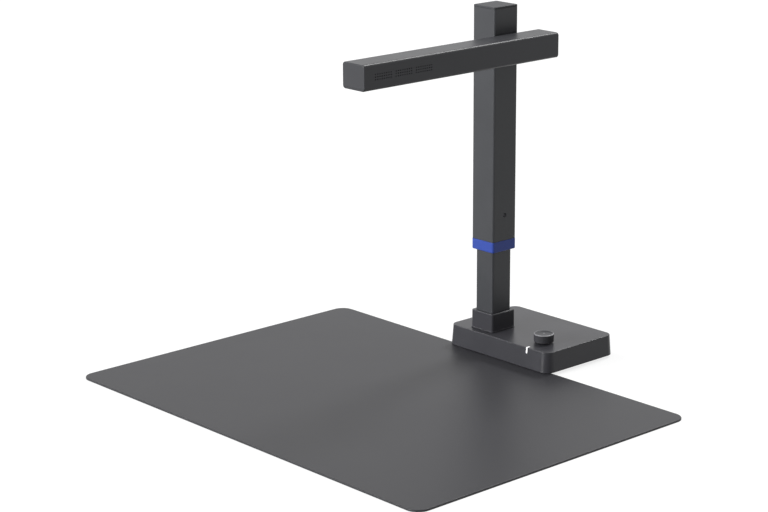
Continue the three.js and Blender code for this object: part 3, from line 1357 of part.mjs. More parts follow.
function makeCamera(parent) {
  const windowDisc = rod(WINDOW_RADIUS, WINDOW_THICKNESS, ROUND_SIDES);
  piece("camera_window", windowDisc, lensGlass, parent, armCentreX, lensY, armBottom + WINDOW_RECESS);

  const board = block({
    width: CAMERA_BOARD_SIZE,
    depth: CAMERA_BOARD_SIZE,
    height: CAMERA_BOARD_THICKNESS,
    corner: BOARD_CORNER,
  });
  const sensor = boxTool(SENSOR_SIZE, SENSOR_SIZE, SENSOR_THICKNESS + CAMERA_BOARD_THICKNESS / 2);
  const boardBody = join(solidOf(board), sensor.translate(0, 0, -SENSOR_THICKNESS));
  piece("camera_board", boardBody, boardGreen, parent, armCentreX, lensY, cameraBoardBottom);

  const holderTop = cameraBoardBottom - SEAT_GAP;
  const holderBottom = holderTop - HOLDER_HEIGHT;
  const holder = block({
    width: HOLDER_SIZE,
    depth: HOLDER_SIZE,
    height: HOLDER_HEIGHT,
    corner: BOARD_CORNER,
  });
  const holderBore = rod(BARREL_RADIUS + THREAD_GAP, HOLDER_HEIGHT + 2 * TOOL_OVERRUN, ROUND_SIDES);
  const holderBody = cut(solidOf(holder), holderBore.translate(0, 0, -TOOL_OVERRUN));
  piece("lens_holder", holderBody, leadRubber, parent, armCentreX, lensY, holderBottom);

  const barrelTop = holderBottom + BARREL_INTO_HOLDER;
  const barrelBottom = barrelTop - BARREL_HEIGHT;
  const inner = BARREL_RADIUS - BARREL_WALL;
  const mouth = BARREL_RADIUS - BARREL_WALL / 2;
  const barrel = turned([
    [mouth, 0],
    [BARREL_RADIUS, 0],
    [BARREL_RADIUS, BARREL_HEIGHT],
    [inner - BARREL_WALL, BARREL_HEIGHT],
    [inner - BARREL_WALL, BARREL_MOUTH + GLASS_THICKNESS + SEAT_GAP],
    [inner, BARREL_MOUTH + GLASS_THICKNESS + SEAT_GAP],
    [inner, BARREL_MOUTH],
    [mouth, 0],
  ]);
  piece("lens_barrel", barrel, blackSteel, parent, armCentreX, lensY, barrelBottom);

  const glassRadius = inner - SEAT_GAP;
  const glass = turned([
    [0, -GLASS_DOME],
    [glassRadius / 2, -GLASS_DOME * GLASS_CROWN_SHARE],
    [glassRadius, 0],
    [glassRadius, GLASS_THICKNESS],
    [0, GLASS_THICKNESS],
  ]);
  piece("lens_glass", glass, lensGlass, parent, armCentreX, lensY, barrelBottom + BARREL_MOUTH);
}

// Lamps: a window, and a board with its light chips on the ribs above it.
function makeLamps(parent) {
  lampPlaces().forEach(({ name, y }) => {
    const face = block({
      width: LAMP_WIDTH,
      depth: LAMP_LENGTH,
      height: COVER_THICKNESS + SEAT_GAP + LAMP_FLANGE_THICKNESS / 2,
      corner: LAMP_CORNER,
    });
    const flange = block({
      width: LAMP_WIDTH + 2 * LAMP_FLANGE,
      depth: LAMP_LENGTH + 2 * LAMP_FLANGE,
      height: LAMP_FLANGE_THICKNESS,
      corner: LAMP_CORNER,
    }).translate(0, 0, COVER_THICKNESS + SEAT_GAP);
    const window = join(solidOf(face), flange);
    piece(`lamp_window_${name}`, window, diffuserPlastic, parent, armCentreX, y, armBottom);

    const board = block({
      width: LAMP_WIDTH + 2 * (LAMP_FLANGE + LAMP_RIB_WALL / 2),
      depth: LAMP_LENGTH + 2 * (LAMP_FLANGE + LAMP_RIB_WALL / 2),
      height: LAMP_BOARD_THICKNESS,
      corner: LAMP_CORNER,
    });
    let body = solidOf(board);
    const chipStep = LAMP_LENGTH / CHIP_COUNT;
    for (let index = 0; index < CHIP_COUNT; index += 1) {
      const chipHeight = CHIP_HEIGHT + LAMP_BOARD_THICKNESS / 2;
      const chip = boxTool(CHIP_WIDTH, CHIP_LENGTH, chipHeight);
      const chipY = (index + 0.5) * chipStep - LAMP_LENGTH / 2;
      body = join(body, chip.translate(0, chipY, -CHIP_HEIGHT));
    }
    const level = coverTop + LAMP_BOARD_LEVEL;
    piece(`lamp_board_${name}`, body, boardGreen, parent, armCentreX, y, level);
  });
}

// Processor board under the arm's ceiling, behind the vents
const armBoardTop = armCeiling - ARM_BOARD_DROP + ARM_BOARD_THICKNESS;
const armBoardY = lensY + ARM_BOARD_FROM_LENS + ARM_BOARD_LENGTH / 2;

function armBoardPostPlaces() {
  const reachX = ARM_BOARD_WIDTH / 2 - CAMERA_POST_RADIUS;
  const reachY = ARM_BOARD_LENGTH / 2 - CAMERA_POST_RADIUS;
  return [-1, 1].map((side) => ({ x: armCentreX + side * reachX, y: armBoardY + side * reachY }));
}

function makeArmBoard(parent) {
  const board = block({
    width: ARM_BOARD_WIDTH,
    depth: ARM_BOARD_LENGTH,
    height: ARM_BOARD_THICKNESS,
    corner: BOARD_CORNER,
  });
  const chip = boxTool(ARM_CHIP_SIZE, ARM_CHIP_SIZE, ARM_CHIP_HEIGHT + ARM_BOARD_THICKNESS / 2);
  const body = join(solidOf(board), chip.translate(0, 0, ARM_BOARD_THICKNESS / 2));
  piece("arm_board", body, boardGreen, parent, armCentreX, armBoardY, armBoardTop - ARM_BOARD_THICKNESS);
}

// Round lead along a curve, as a section swept with extrudePath.
function sweptLead(points, radius, steps) {
  const section = new THREE.Shape();
  section.absarc(0, 0, radius, 0, 2 * Math.PI, false);
  return new THREE.ExtrudeGeometry(section, {
    steps,
    curveSegments: LEAD_SIDES / 2,
    extrudePath: new THREE.CatmullRomCurve3(points, false, "centripetal"),
  });
}

function makeArmLead(parent) {
  const startY = armBoardY + ARM_BOARD_LENGTH / 2 + RUNNING_GAP;
  const level = armBoardTop - ARM_BOARD_THICKNESS / 2;
  const clearX = ARM_GAP + ARM_WALL + ARM_PIVOT_PAD + FLANGE_THICKNESS + LEAD_CLEAR_OF_FLANGE;
  const endX = -OUTER_WALL;
  const bend = 2 * LEAD_CLEAR_OF_FLANGE;
  const route = [
    new THREE.Vector3(armCentreX, startY, level),
    new THREE.Vector3(armCentreX, startY + bend, level),
    new THREE.Vector3(armCentreX, -bend, level / 2),
    new THREE.Vector3(clearX, -LEAD_RADIUS, 0),
    new THREE.Vector3(clearX - LEAD_CLEAR_OF_FLANGE, 0, 0),
    new THREE.Vector3(endX, 0, 0),
  ];
  piece("arm_lead", sweptLead(route, LEAD_RADIUS, LEAD_STEPS), leadRubber, parent);
}

makeMat(scanner);

const base = new THREE.Group();
base.position.set(BASE_SHIFT, MAT_DEPTH / 2 - MAT_TUCK + BASE_DEPTH / 2, 0);
scanner.add(base);
makeBaseHousing(base);
makeStatusLight(base);
makeBasePlate(base);
makeBaseFasteners(base);
makeBallast(base);
makeMainBoard(base);
makeSockets(base);

const dial = new THREE.Group();
dial.position.set(dialX, dialY, 0);
base.add(dial);
makeDial(dial);

const column = new THREE.Group();
column.position.set(columnX, columnY, 0);
base.add(column);
makeCollar(column);
makeInnerTube(column);
makeTopGlide(column);
makeOuterTube(column);
makeBand(column);
makeCap(column);
makeDetent(column);
makeHingeBlock(column);

const arm = new THREE.Group();
arm.position.set(OUTER_WIDTH / 2, 0, PIVOT_LEVEL);
column.add(arm);
makePivot(arm);
makeArmShell(arm);
makeArmCover(arm);
makeCamera(arm);
makeLamps(arm);
makeArmBoard(arm);
makeArmLead(arm);

export default scanner;
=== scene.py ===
"""Finished surfaces and stage of an overhead book scanner.

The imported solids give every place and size. Each operator makes one piece, or one group
of like pieces, with the fillets, seams, grain and small forms that the solids leave out.
All lengths are metres.
"""

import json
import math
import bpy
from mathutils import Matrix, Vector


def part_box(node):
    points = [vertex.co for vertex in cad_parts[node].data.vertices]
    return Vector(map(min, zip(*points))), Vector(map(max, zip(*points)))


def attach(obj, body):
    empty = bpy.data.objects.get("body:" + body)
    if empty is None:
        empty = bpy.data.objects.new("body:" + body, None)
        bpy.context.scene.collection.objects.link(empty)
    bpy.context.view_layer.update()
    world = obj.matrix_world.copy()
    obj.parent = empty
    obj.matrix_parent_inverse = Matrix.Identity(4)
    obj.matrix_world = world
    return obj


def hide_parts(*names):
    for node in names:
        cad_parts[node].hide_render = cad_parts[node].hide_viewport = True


bl_info = {
    "name": "Book Scanner Surfaces",
    "version": (1, 0, 0),
    "blender": (4, 5, 0),
    "location": "View3D > Sidebar > Book Scanner",
    "description": "Builds the visible pieces of an overhead book scanner and its stage",
    "category": "Object",
}

from itertools import product

import bmesh
import bpy
from bpy.props import (
    FloatProperty,
    FloatVectorProperty,
    IntProperty,
    PointerProperty,
)
from mathutils import Matrix, Vector

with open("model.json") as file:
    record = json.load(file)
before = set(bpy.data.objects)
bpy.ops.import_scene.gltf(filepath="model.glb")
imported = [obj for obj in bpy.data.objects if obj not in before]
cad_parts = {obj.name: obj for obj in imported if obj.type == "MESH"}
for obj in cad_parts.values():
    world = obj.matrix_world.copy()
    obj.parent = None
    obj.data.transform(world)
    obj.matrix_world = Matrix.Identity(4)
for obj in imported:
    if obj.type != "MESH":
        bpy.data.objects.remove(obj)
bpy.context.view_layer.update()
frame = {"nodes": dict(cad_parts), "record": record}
MM = 0.001
BODY_OF = {
    node: body
    for body, nodes in frame["record"]["behaviour"]["bodies"].items()
    for node in nodes
}
CORNERS = ("front_left", "front_right", "rear_left", "rear_right")
ARM_SCREWS = ("front_left", "front_right", "rear")
LAMP_WINDOWS = ("lamp_window_front", "lamp_window_rear")

# Fixed sizes
MERGE = 0.001 * MM  # corners of a turned shape nearer than this become one
PAST = 2 * MM  # how far a cutting tool stands out of the face that it cuts
SMALL_PAST = 1 * MM  # a shorter one, for rooms, screw sinks, sockets and vents
THROUGH = 10 * MM  # length of a tool that goes right through the base's wall
TRIM = 30 * MM  # height of the block that trims the arm's shell and cover
UPPER_WALL = 1.8 * MM  # wall of the upper tube
LOWER_WALL = 1.5 * MM  # wall of the lower tube
INSERT_CORNER = 0.6 * MM  # corner of what stands inside the upper tube
COVER_SHEET = 1.8 * MM  # thickness of the arm's cover
LAMP_FLANGE = 1.2 * MM  # rim by which a lamp window sits behind the cover
VENT_BEVEL = 0.15 * MM  # bevel round a vent hole
COLUMN_STEPS = 10  # sides of each rounded corner of the column's pieces
EVEN = (1, 1, 1)  # stretch of a finish without a direction

# Stage
FLOOR_DROP = 0.05 * MM  # keeps the floor out of the plane of the mat's underside
FLOOR_GLOW = 0.79  # what the floor adds where it is seen, so that it shows white
SKY_FILL = 0.24  # strength of the sky as a light; where it is seen it is 1
SENSOR_WIDTH = 36.0
CAMERA_SHIFT = (-0.0583, 0.0036)
CAMERA_REACH = 50.0
# Name, direction round the upright, height and width in degrees, strength
STUDIO_LAMPS = (
    ("front_left_light", -107, 9, 28, 3.6),
    ("top_light", 0, 90, 40, 0.4),
    ("rear_edge_light", 100, 48, 13, 1.3),
    ("left_edge_light", -157, 43, 12, 0.7),
)


def length(name, description, millimetres, low=0.0):
    return FloatProperty(
        name=name,
        description=description,
        default=millimetres * MM,
        min=low * MM,
        precision=5,
        unit="LENGTH",
    )


def colour(name, description, default):
    return FloatVectorProperty(
        name=name,
        description=description,
        default=default,
        size=3,
        min=0.0,
        max=1.0,
        subtype="COLOR",
    )


def number(name, description, default, low, high):
    return IntProperty(
        name=name,
        description=description,
        default=default,
        min=low,
        max=high,
    )


class MatSettings(bpy.types.PropertyGroup):
    corner: length("Corner", "Radius of the mat's corners seen from above", 11.5)
    edge: length("Edge", "Rounding of the mat's top edge", 0.6)
    grain: length("Grain", "Size of the grain in the mat's face", 0.9)
    tint: colour("Colour", "Colour of the mat's face", (0.028, 0.028, 0.032))


class BaseSettings(bpy.types.PropertyGroup):
    corner: length("Corner", "Radius of the base's upright corners", 9)
    edge: length("Edge", "Rounding of the base's top edge", 0.7)
    draft: length("Draft", "How far the sides lean in towards the top", 1.4)
    wall: length("Wall", "Thickness of the moulded wall", 2)
    socket_chamfer: length("Socket chamfer", "Bevel round the two socket openings", 0.3)
    foot_groove: length("Foot groove", "Width of the groove in the sole of a foot", 0.5)
    tint: colour("Colour", "Colour of the moulded base", (0.039, 0.039, 0.045))


class ColumnSettings(bpy.types.PropertyGroup):
    corner: length("Outer corner", "Radius of the upper tube's upright edges", 1.8)
    inner_corner: length("Inner corner", "Radius of the lower tube's upright edges", 2)
    collar_corner: length("Collar corner", "Radius of the collar's upright edges", 2.4)
    collar_edge: length("Collar edge", "Rounding of the collar's top edge", 0.8)
    band_edge: length("Band edge", "Rounding of the band's lower edge", 0.9)
    cap_edge: length("Cap edge", "Rounding of the cap's top edge", 0.5)
    seam: length("Seam", "Gap between the tube and what closes its ends", 0.2)
    tint: colour("Tube colour", "Colour of the coated tubes", (0.045, 0.047, 0.052))
    band_tint: colour("Band colour", "Colour of the band at the upper tube's foot",
                      (0.026, 0.062, 0.340))


class DialSettings(bpy.types.PropertyGroup):
    ribs: number("Ribs", "Number of fine grip ribs round the dial", 90, 12, 120)
    rib_depth: length("Rib depth", "How deep the grip ribs are", 0.1)
    bevel: length("Bevel", "Width of the bright bevel round the top", 0.5)
    rim: length("Rim", "Width of the flat rim inside the bevel", 0.35)
    dish: length("Dish", "How far the top face is dished", 0.15)
    mark: length("Mark", "Radius of the dimple in the middle", 0.9)
    tint: colour("Colour", "Colour of the dial", (0.041, 0.041, 0.046))
    rim_tint: colour("Rim colour", "Colour of the turned metal rim", (0.24, 0.24, 0.25))


class ArmSettings(bpy.types.PropertyGroup):
    edge: length("Edge", "Rounding of the arm's long edges", 2.8)
    end_edge: length("End edge", "Rounding of the edges round the arm's ends", 0.8)
    wall: length("Wall", "Thickness of the moulded wall", 1.8)
    vent_radius: length("Vent radius", "Radius of one vent hole", 0.5)
    vent_pitch: length("Vent pitch", "Step between vent holes along the arm", 2.45)
    vent_row_pitch: length("Vent row pitch", "Step between the rows of vent holes", 2.15)
    vent_group_step: length("Vent group step", "Step between groups of vent holes", 22.65)
    vent_from_tip: length("Vents from tip", "From the arm's tip to the first hole", 12.2)
    vent_columns: number("Vent columns", "Holes in each row of a group", 8, 1, 12)
    vent_rows: number("Vent rows", "Rows in each group of holes", 3, 1, 5)
    vent_groups: number("Vent groups", "Groups of holes along the arm", 3, 1, 5)
    stop_half_width: length("Stop half width", "Half the width of the curved slot", 1.4)
    tint: colour("Colour", "Colour of the moulded arm", (0.037, 0.038, 0.043))


class LampSettings(bpy.types.PropertyGroup):
    corner: length("Window corner", "Radius of a lamp window's corners", 2)
    edge: length("Window edge", "Rounding of a lamp window's face", 0.3)
    flute_pitch: length("Flute pitch", "Step between the fine flutes of a lamp window", 1.5)
    flute_depth: length("Flute depth", "Depth of the fine flutes", 0.12)
    tint: colour("Diffuser colour", "Colour of the milky lamp windows", (0.78, 0.79, 0.80))


class StageSettings(bpy.types.PropertyGroup):
    floor_size: length("Floor size", "Side of the square floor", 12000)
    floor_tint: colour("Floor colour", "Colour of the floor", (0.3, 0.3, 0.3))
    camera_place: FloatVectorProperty(
        name="Camera place",
        description="Where the camera stands",
        default=(1.33577, -1.23138, 0.62389),
        size=3,
        subtype="TRANSLATION",
        unit="LENGTH",
    )
    camera_down: FloatProperty(
        name="Camera down",
        description="How far the camera looks down",
        default=math.radians(15.65),
        unit="ROTATION",
    )
    camera_round: FloatProperty(
        name="Camera round",
        description="How far the camera is turned about the upright",
        default=math.radians(46.83),
        unit="ROTATION",
    )
    focal_length: FloatProperty(
        name="Focal length",
        description="Focal length of the lens on a 36 mm sensor",
        default=104.277,
        min=1.0,
        unit="CAMERA",
    )


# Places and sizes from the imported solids


def corners(node):
    low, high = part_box(node)
    return Vector(low), Vector(high)


def size_of(node):
    low, high = corners(node)
    return high - low


def centre_of(node):
    low, high = corners(node)
    return (low + high) / 2


def foot_of(node):
    low, high = corners(node)
    return Vector(((low.x + high.x) / 2, (low.y + high.y) / 2, low.z))


# Mesh shapes


def rounded_outline(width, depth, corner, steps):
    points = []
    reach_x = width / 2 - corner
    reach_y = depth / 2 - corner
    signs = ((1, 1), (-1, 1), (-1, -1), (1, -1))
    for quarter, (sign_x, sign_y) in enumerate(signs):
        for step in range(steps + 1):
            angle = (quarter + step / steps) * math.pi / 2
            points.append((
                sign_x * reach_x + corner * math.cos(angle),
                sign_y * reach_y + corner * math.sin(angle),
            ))
    return points


def loft(name, rings):
    """A closed skin over outlines with equal numbers of points: [(points, level), ...]."""
    shape = bmesh.new()
    loops = [[shape.verts.new((x, y, level)) for x, y in points] for points, level in rings]
    count = len(loops[0])
    for low, high in zip(loops, loops[1:]):
        for i in range(count):
            j = (i + 1) % count
            shape.faces.new((low[i], low[j], high[j], high[i]))
    shape.faces.new(tuple(reversed(loops[0])))
    shape.faces.new(tuple(loops[-1]))
    return as_object(name, shape)


def slab(name, width, depth, height, corner, top=0.0, bottom=0.0, draft=0.0,
         corner_steps=8, edge_steps=5):
    """A block on z = 0 with round corners, filleted edges and drafted sides."""
    levels = []
    if bottom > 0:
        for step in range(edge_steps):
            angle = step / edge_steps * math.pi / 2
            levels.append((bottom * (1 - math.sin(angle)), bottom * (1 - math.cos(angle))))
    levels.append((0.0, bottom))
    levels.append((0.0, height - top))
    if top > 0:
        for step in range(1, edge_steps + 1):
            angle = step / edge_steps * math.pi / 2
            levels.append((top * (1 - math.cos(angle)), height - top * (1 - math.sin(angle))))
    rings = []
    for inset, level in levels:
        drawn_in = inset + draft * level / height
        radius = max(corner - drawn_in, corner / 8)
        outline = rounded_outline(width - 2 * drawn_in, depth - 2 * drawn_in, radius,
                                  corner_steps)
        rings.append((outline, level))
    return loft(name, rings)


def turned(name, profile, sides=48):
    """A lathe shape about +Z from (radius, level) points that start and end on the axis."""
    shape = bmesh.new()
    spine = [shape.verts.new((radius, 0.0, level)) for radius, level in profile]
    edges = [shape.edges.new(pair) for pair in zip(spine, spine[1:])]
    bmesh.ops.spin(
        shape, geom=spine + edges, cent=(0, 0, 0), axis=(0, 0, 1),
        angle=2 * math.pi, steps=sides, use_merge=True,
    )
    bmesh.ops.remove_doubles(shape, verts=shape.verts, dist=MERGE)
    bmesh.ops.recalc_face_normals(shape, faces=shape.faces)
    return as_object(name, shape)


def rod(name, radius, height, sides=32):
    return turned(name, [(0, 0), (radius, 0), (radius, height), (0, height)], sides)


def ring(name, profile, sides=48):
    """A lathe shape whose (radius, level) profile closes on itself."""
    return turned(name, list(profile) + [profile[0]], sides)


def box(name, width, depth, height):
    return slab(name, width, depth, height, min(width, depth) / 1000, corner_steps=1)


def as_object(name, shape):
    mesh = bpy.data.meshes.new(name)
    shape.normal_update()
    shape.to_mesh(mesh)
    shape.free()
    made = bpy.data.objects.new(name, mesh)
    bpy.context.scene.collection.objects.link(made)
    return made


def moved(piece, place=(0, 0, 0), turn=None):
    """The mesh itself is turned and then moved, so the object stays at the origin."""
    matrix = Matrix.Translation(Vector(place))
    if turn is not None:
        matrix = matrix @ turn
    piece.data.transform(matrix)
    return piece


def facing(axis):
    """The rotation that takes +Z to an axis."""
    return Vector((0, 0, 1)).rotation_difference(Vector(axis)).to_matrix().to_4x4()


TO_RIGHT = facing((1, 0, 0))
TO_LEFT = facing((-1, 0, 0))
TO_REAR = facing((0, 1, 0))


def discard(piece):
    mesh = piece.data
    bpy.data.objects.remove(piece)
    bpy.data.meshes.remove(mesh)


def bake(piece):
    """Writes what the modifiers make into the mesh."""
    graph = bpy.context.evaluated_depsgraph_get()
    mesh = bpy.data.meshes.new_from_object(piece.evaluated_get(graph))
    piece.modifiers.clear()
    old = piece.data
    piece.data = mesh
    bpy.data.meshes.remove(old)
    return piece


def combine(piece, tools, operation):
    for tool in tools:
        modifier = piece.modifiers.new("combine", "BOOLEAN")
        modifier.operation = operation
        modifier.solver = "EXACT"
        modifier.object = tool
        bake(piece)
    for tool in tools:
        discard(tool)
    return piece


def cut(piece, *tools):
    return combine(piece, tools, "DIFFERENCE")


def fuse(piece, *tools):
    return combine(piece, tools, "UNION")


def cut_from_right(piece, tool, side, node):
    """Cuts with a tool that points to the right, in line with the middle of a node."""
    place = centre_of(node)
    return cut(piece, moved(tool, (side, place.y, place.z), TO_RIGHT))


def pierce(piece, width, depth, height, corner, steps=8):
    """Cuts a rectangular way right through a piece that stands on z = 0."""
    way = slab("way", width, depth, height + 2 * PAST, corner, corner_steps=steps)
    return cut(piece, moved(way, (0, 0, -PAST)))


def hollow_bar(name, node, corner, wall):
    """An upright tube in the place of a node."""
    size = size_of(node)
    bar = slab(name, size.x, size.y, size.z, corner, corner_steps=COLUMN_STEPS)
    pierce(bar, size.x - 2 * wall, size.y - 2 * wall, size.z, max(corner - wall, 0.5 * MM))
    return moved(bar, foot_of(node))


def countersunk(name, reach):
    """A countersunk screw on z = 0 with a six-sided socket and a rounded rim."""
    shank = 1.0 * MM
    head = 2.3 * MM
    head_depth = 1.4 * MM
    point = 0.4 * MM
    key_radius = 1.15 * MM
    key_depth = 0.9 * MM
    screw = turned(name, [
        (0, 0), (head - 0.2 * MM, 0), (head, 0.12 * MM), (shank, head_depth),
        (shank, reach - point), (shank - point, reach), (0, reach),
    ], 36)
    key = rod("key", key_radius, key_depth + SMALL_PAST, 6)
    return cut(screw, moved(key, (0, 0, -SMALL_PAST)))


def sink_tool(reach):
    """A tool for the hole of a countersunk screw, whose head lies at z = 0."""
    hole = 1.2 * MM
    head_hole = 2.6 * MM
    return turned("sink", [
        (0, -PAST), (head_hole, -PAST), (head_hole, 0.2 * MM), (hole, 1.6 * MM),
        (hole, reach), (0, reach),
    ], 32)


def merged(name, parts):
    """Several separate shells in one mesh."""
    shape = bmesh.new()
    for part in parts:
        shape.from_mesh(part.data)
        discard(part)
    return as_object(name, shape)


def smooth(piece, angle=35.0, bevel=0.0):
    """Soft shading with crisp corners, after an optional fine bevel of the corners."""
    if bevel > 0:
        modifier = piece.modifiers.new("fine_bevel", "BEVEL")
        modifier.width = bevel
        modifier.segments = 2
        modifier.limit_method = "ANGLE"
        modifier.angle_limit = math.radians(angle)
        modifier.use_clamp_overlap = True
        bake(piece)
    mesh = piece.data
    mesh.polygons.foreach_set("use_smooth", [True] * len(mesh.polygons))
    mesh.set_sharp_from_angle(angle=math.radians(angle))
    modifier = piece.modifiers.new("even_normals", "WEIGHTED_NORMAL")
    modifier.keep_sharp = True
    return piece


def fit(piece, node, material, *more):
    """The piece stands for its CAD nodes, moves with their body and takes their finish."""
    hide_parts(node, *more)
    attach(piece, BODY_OF[node])
    piece.data.materials.clear()
    piece.data.materials.append(material)
    return piece


def seat(piece, node, material, bevel=0.0):
    """Fits a piece that was made on z = 0, in the place of its node."""
    return fit(smooth(moved(piece, foot_of(node)), bevel=bevel), node, material)


# Surfaces


def blank_surface(name, sockets=None):
    """The material of that name with a fresh shader, so that pieces can share it."""
    material = bpy.data.materials.get(name) or bpy.data.materials.new(name)
    material.use_nodes = True
    tree = material.node_tree
    tree.nodes.clear()
    shader = tree.nodes.new("ShaderNodeBsdfPrincipled")
    output = tree.nodes.new("ShaderNodeOutputMaterial")
    tree.links.new(shader.outputs["BSDF"], output.inputs["Surface"])
    for key, value in (sockets or {}).items():
        shader.inputs[key].default_value = value
    return material, tree, shader


def add_node(tree, kind, **values):
    made = tree.nodes.new(kind)
    for key, value in values.items():
        if key in made.inputs:
            made.inputs[key].default_value = value
        else:
            setattr(made, key, value)
    return made


def noise(tree, size, detail=2.0, stretch=(1, 1, 1)):
    """Noise whose patches are about size metres across, in object space."""
    where = add_node(tree, "ShaderNodeTexCoord")
    mapping = add_node(tree, "ShaderNodeMapping")
    mapping.inputs["Scale"].default_value = stretch
    made = add_node(tree, "ShaderNodeTexNoise", Scale=1 / size, Detail=detail, Roughness=0.55)
    tree.links.new(where.outputs["Object"], mapping.inputs["Vector"])
    tree.links.new(mapping.outputs["Vector"], made.inputs["Vector"])
    return made.outputs["Fac"]


def spread(tree, source, low, high):
    """Takes the middle of a noise, 0.3 to 0.7, to the range from low to high."""
    made = add_node(tree, "ShaderNodeMapRange")
    for key, value in (("From Min", 0.3), ("From Max", 0.7), ("To Min", low),
                       ("To Max", high)):
        made.inputs[key].default_value = value
    tree.links.new(source, made.inputs["Value"])
    return made.outputs["Result"]


def mottle(tree, shader, tint, source, amount):
    """The colour drifts a little darker and lighter with the source."""
    made = add_node(tree, "ShaderNodeMix", data_type="RGBA")
    dark = tuple(c * (1 - amount) for c in tint) + (1.0,)
    light = tuple(min(c * (1 + amount), 1.0) for c in tint) + (1.0,)
    made.inputs[6].default_value = dark
    made.inputs[7].default_value = light
    tree.links.new(spread(tree, source, 0, 1), made.inputs[0])
    tree.links.new(made.outputs[2], shader.inputs["Base Color"])


def gloss(tree, shader, source, roughness, swing):
    """The roughness drifts a little up and down with the source."""
    drifting = spread(tree, source, roughness - swing, roughness + swing)
    tree.links.new(drifting, shader.inputs["Roughness"])


def relief(tree, shader, source, depth):
    made = add_node(tree, "ShaderNodeBump", Strength=1.0, Distance=depth)
    tree.links.new(source, made.inputs["Height"])
    tree.links.new(made.outputs["Normal"], shader.inputs["Normal"])


def moulded(name, tint, roughness, grain=0.35 * MM, depth=0.012 * MM, specular=0.3,
            drift=0.06, metallic=0.0):
    """Moulded or coated surface with a fine even texture and a slow drift of gloss."""
    material, tree, shader = blank_surface(name, {
        "Metallic": metallic, "Specular IOR Level": specular,
    })
    slow = noise(tree, 45 * MM, 5.0)
    mottle(tree, shader, tint, slow, drift)
    gloss(tree, shader, slow, roughness, 0.02)
    relief(tree, shader, noise(tree, grain, 3.0), depth)
    return material


def soft_rubber(name, tint, grain, depth=0.05 * MM, roughness=0.72, specular=0.3):
    """Rubber with small pebbled cells."""
    material, tree, shader = blank_surface(name, {"Specular IOR Level": specular})
    where = add_node(tree, "ShaderNodeTexCoord")
    cells = add_node(tree, "ShaderNodeTexVoronoi", feature="SMOOTH_F1", Scale=1 / grain,
                     Smoothness=0.6)
    tree.links.new(where.outputs["Object"], cells.inputs["Vector"])
    total = add_node(tree, "ShaderNodeMath", operation="MULTIPLY_ADD")
    total.inputs[1].default_value = 0.35
    tree.links.new(noise(tree, grain / 3), total.inputs[0])
    tree.links.new(cells.outputs["Distance"], total.inputs[2])
    slow = noise(tree, 90 * MM, 6.0)
    mottle(tree, shader, tint, slow, 0.05)
    gloss(tree, shader, slow, roughness, 0.015)
    relief(tree, shader, total.outputs["Value"], depth)
    return material


def worked_metal(name, tint, roughness=0.28, stretch=(1, 1, 12), depth=0.004 * MM):
    """Bare metal with fine lines from the tool."""
    material, tree, shader = blank_surface(name, {"Metallic": 1.0})
    lines = noise(tree, 0.6 * MM, 2.0, stretch)
    mottle(tree, shader, tint, lines, 0.1)
    gloss(tree, shader, noise(tree, 8 * MM, 3.0), roughness, 0.06)
    relief(tree, shader, lines, depth)
    return material


def circuit_laminate(name, tint):
    """Green laminate with darker patches of copper under the lacquer."""
    material, tree, shader = blank_surface(name, {"Coat Weight": 0.4, "Roughness": 0.45})
    where = add_node(tree, "ShaderNodeTexCoord")
    bricks = add_node(tree, "ShaderNodeTexBrick", Scale=1 / (14 * MM))
    for socket, share in (("Color1", 1.0), ("Color2", 0.8), ("Mortar", 1.6)):
        bricks.inputs[socket].default_value = tuple(c * share for c in tint) + (1.0,)
    tree.links.new(where.outputs["Object"], bricks.inputs["Vector"])
    tree.links.new(bricks.outputs["Color"], shader.inputs["Base Color"])
    relief(tree, shader, noise(tree, 0.5 * MM), 0.01 * MM)
    return material


def milky_window(name, tint):
    """Diffuser that scatters light, with a fine frosted face."""
    material, tree, shader = blank_surface(name, {
        "Subsurface Weight": 0.3, "Subsurface Radius": (0.002, 0.002, 0.002),
    })
    slow = noise(tree, 20 * MM)
    mottle(tree, shader, tint, slow, 0.02)
    gloss(tree, shader, slow, 0.4, 0.04)
    relief(tree, shader, noise(tree, 0.3 * MM, 3.0), 0.01 * MM)
    return material


def white_guide(name):
    """The white light line, faintly lit from inside."""
    material, tree, shader = blank_surface(name, {
        "Emission Color": (1, 1, 1, 1), "Emission Strength": 0.35,
    })
    slow = noise(tree, 2 * MM)
    mottle(tree, shader, (0.93, 0.93, 0.93), slow, 0.02)
    gloss(tree, shader, slow, 0.35, 0.05)
    return material


def dark_glass(name, tint, transmission=0.0):
    """Coated optical glass over a dark inside."""
    material, tree, shader = blank_surface(name, {
        "Transmission Weight": transmission, "IOR": 1.52,
        "Coat Weight": 1.0, "Coat Roughness": 0.03,
    })
    slow = noise(tree, 6 * MM)
    mottle(tree, shader, tint, slow, 0.15)
    gloss(tree, shader, slow, 0.035, 0.015)
    return material


def base_plastic():
    tint = bpy.context.scene.scanner_base.tint
    return moulded("base_plastic", tint, 0.31, specular=0.26)


def arm_plastic():
    return moulded("arm_plastic", bpy.context.scene.scanner_arm.tint, 0.38)


def black_screw_steel():
    return worked_metal("black_screw_steel", (0.05, 0.05, 0.055), 0.38, stretch=EVEN)


def plain_steel():
    return worked_metal("plain_steel", (0.56, 0.57, 0.58))


# Operators, one for each piece or group of like pieces


class SCANNER_OT_mat(bpy.types.Operator):
    """Make the loose rubber mat"""

    bl_idname = "scanner.mat"
    bl_label = "Mat"

    def execute(self, context):
        settings = context.scene.scanner_mat
        size = size_of("document_mat")
        sheet = slab("mat", size.x, size.y, size.z, settings.corner, settings.edge,
                     settings.edge / 3, corner_steps=20)
        surface = soft_rubber("mat_rubber", settings.tint, settings.grain, depth=0.02 * MM,
                              roughness=0.43, specular=0.32)
        seat(sheet, "document_mat", surface)
        return {"FINISHED"}


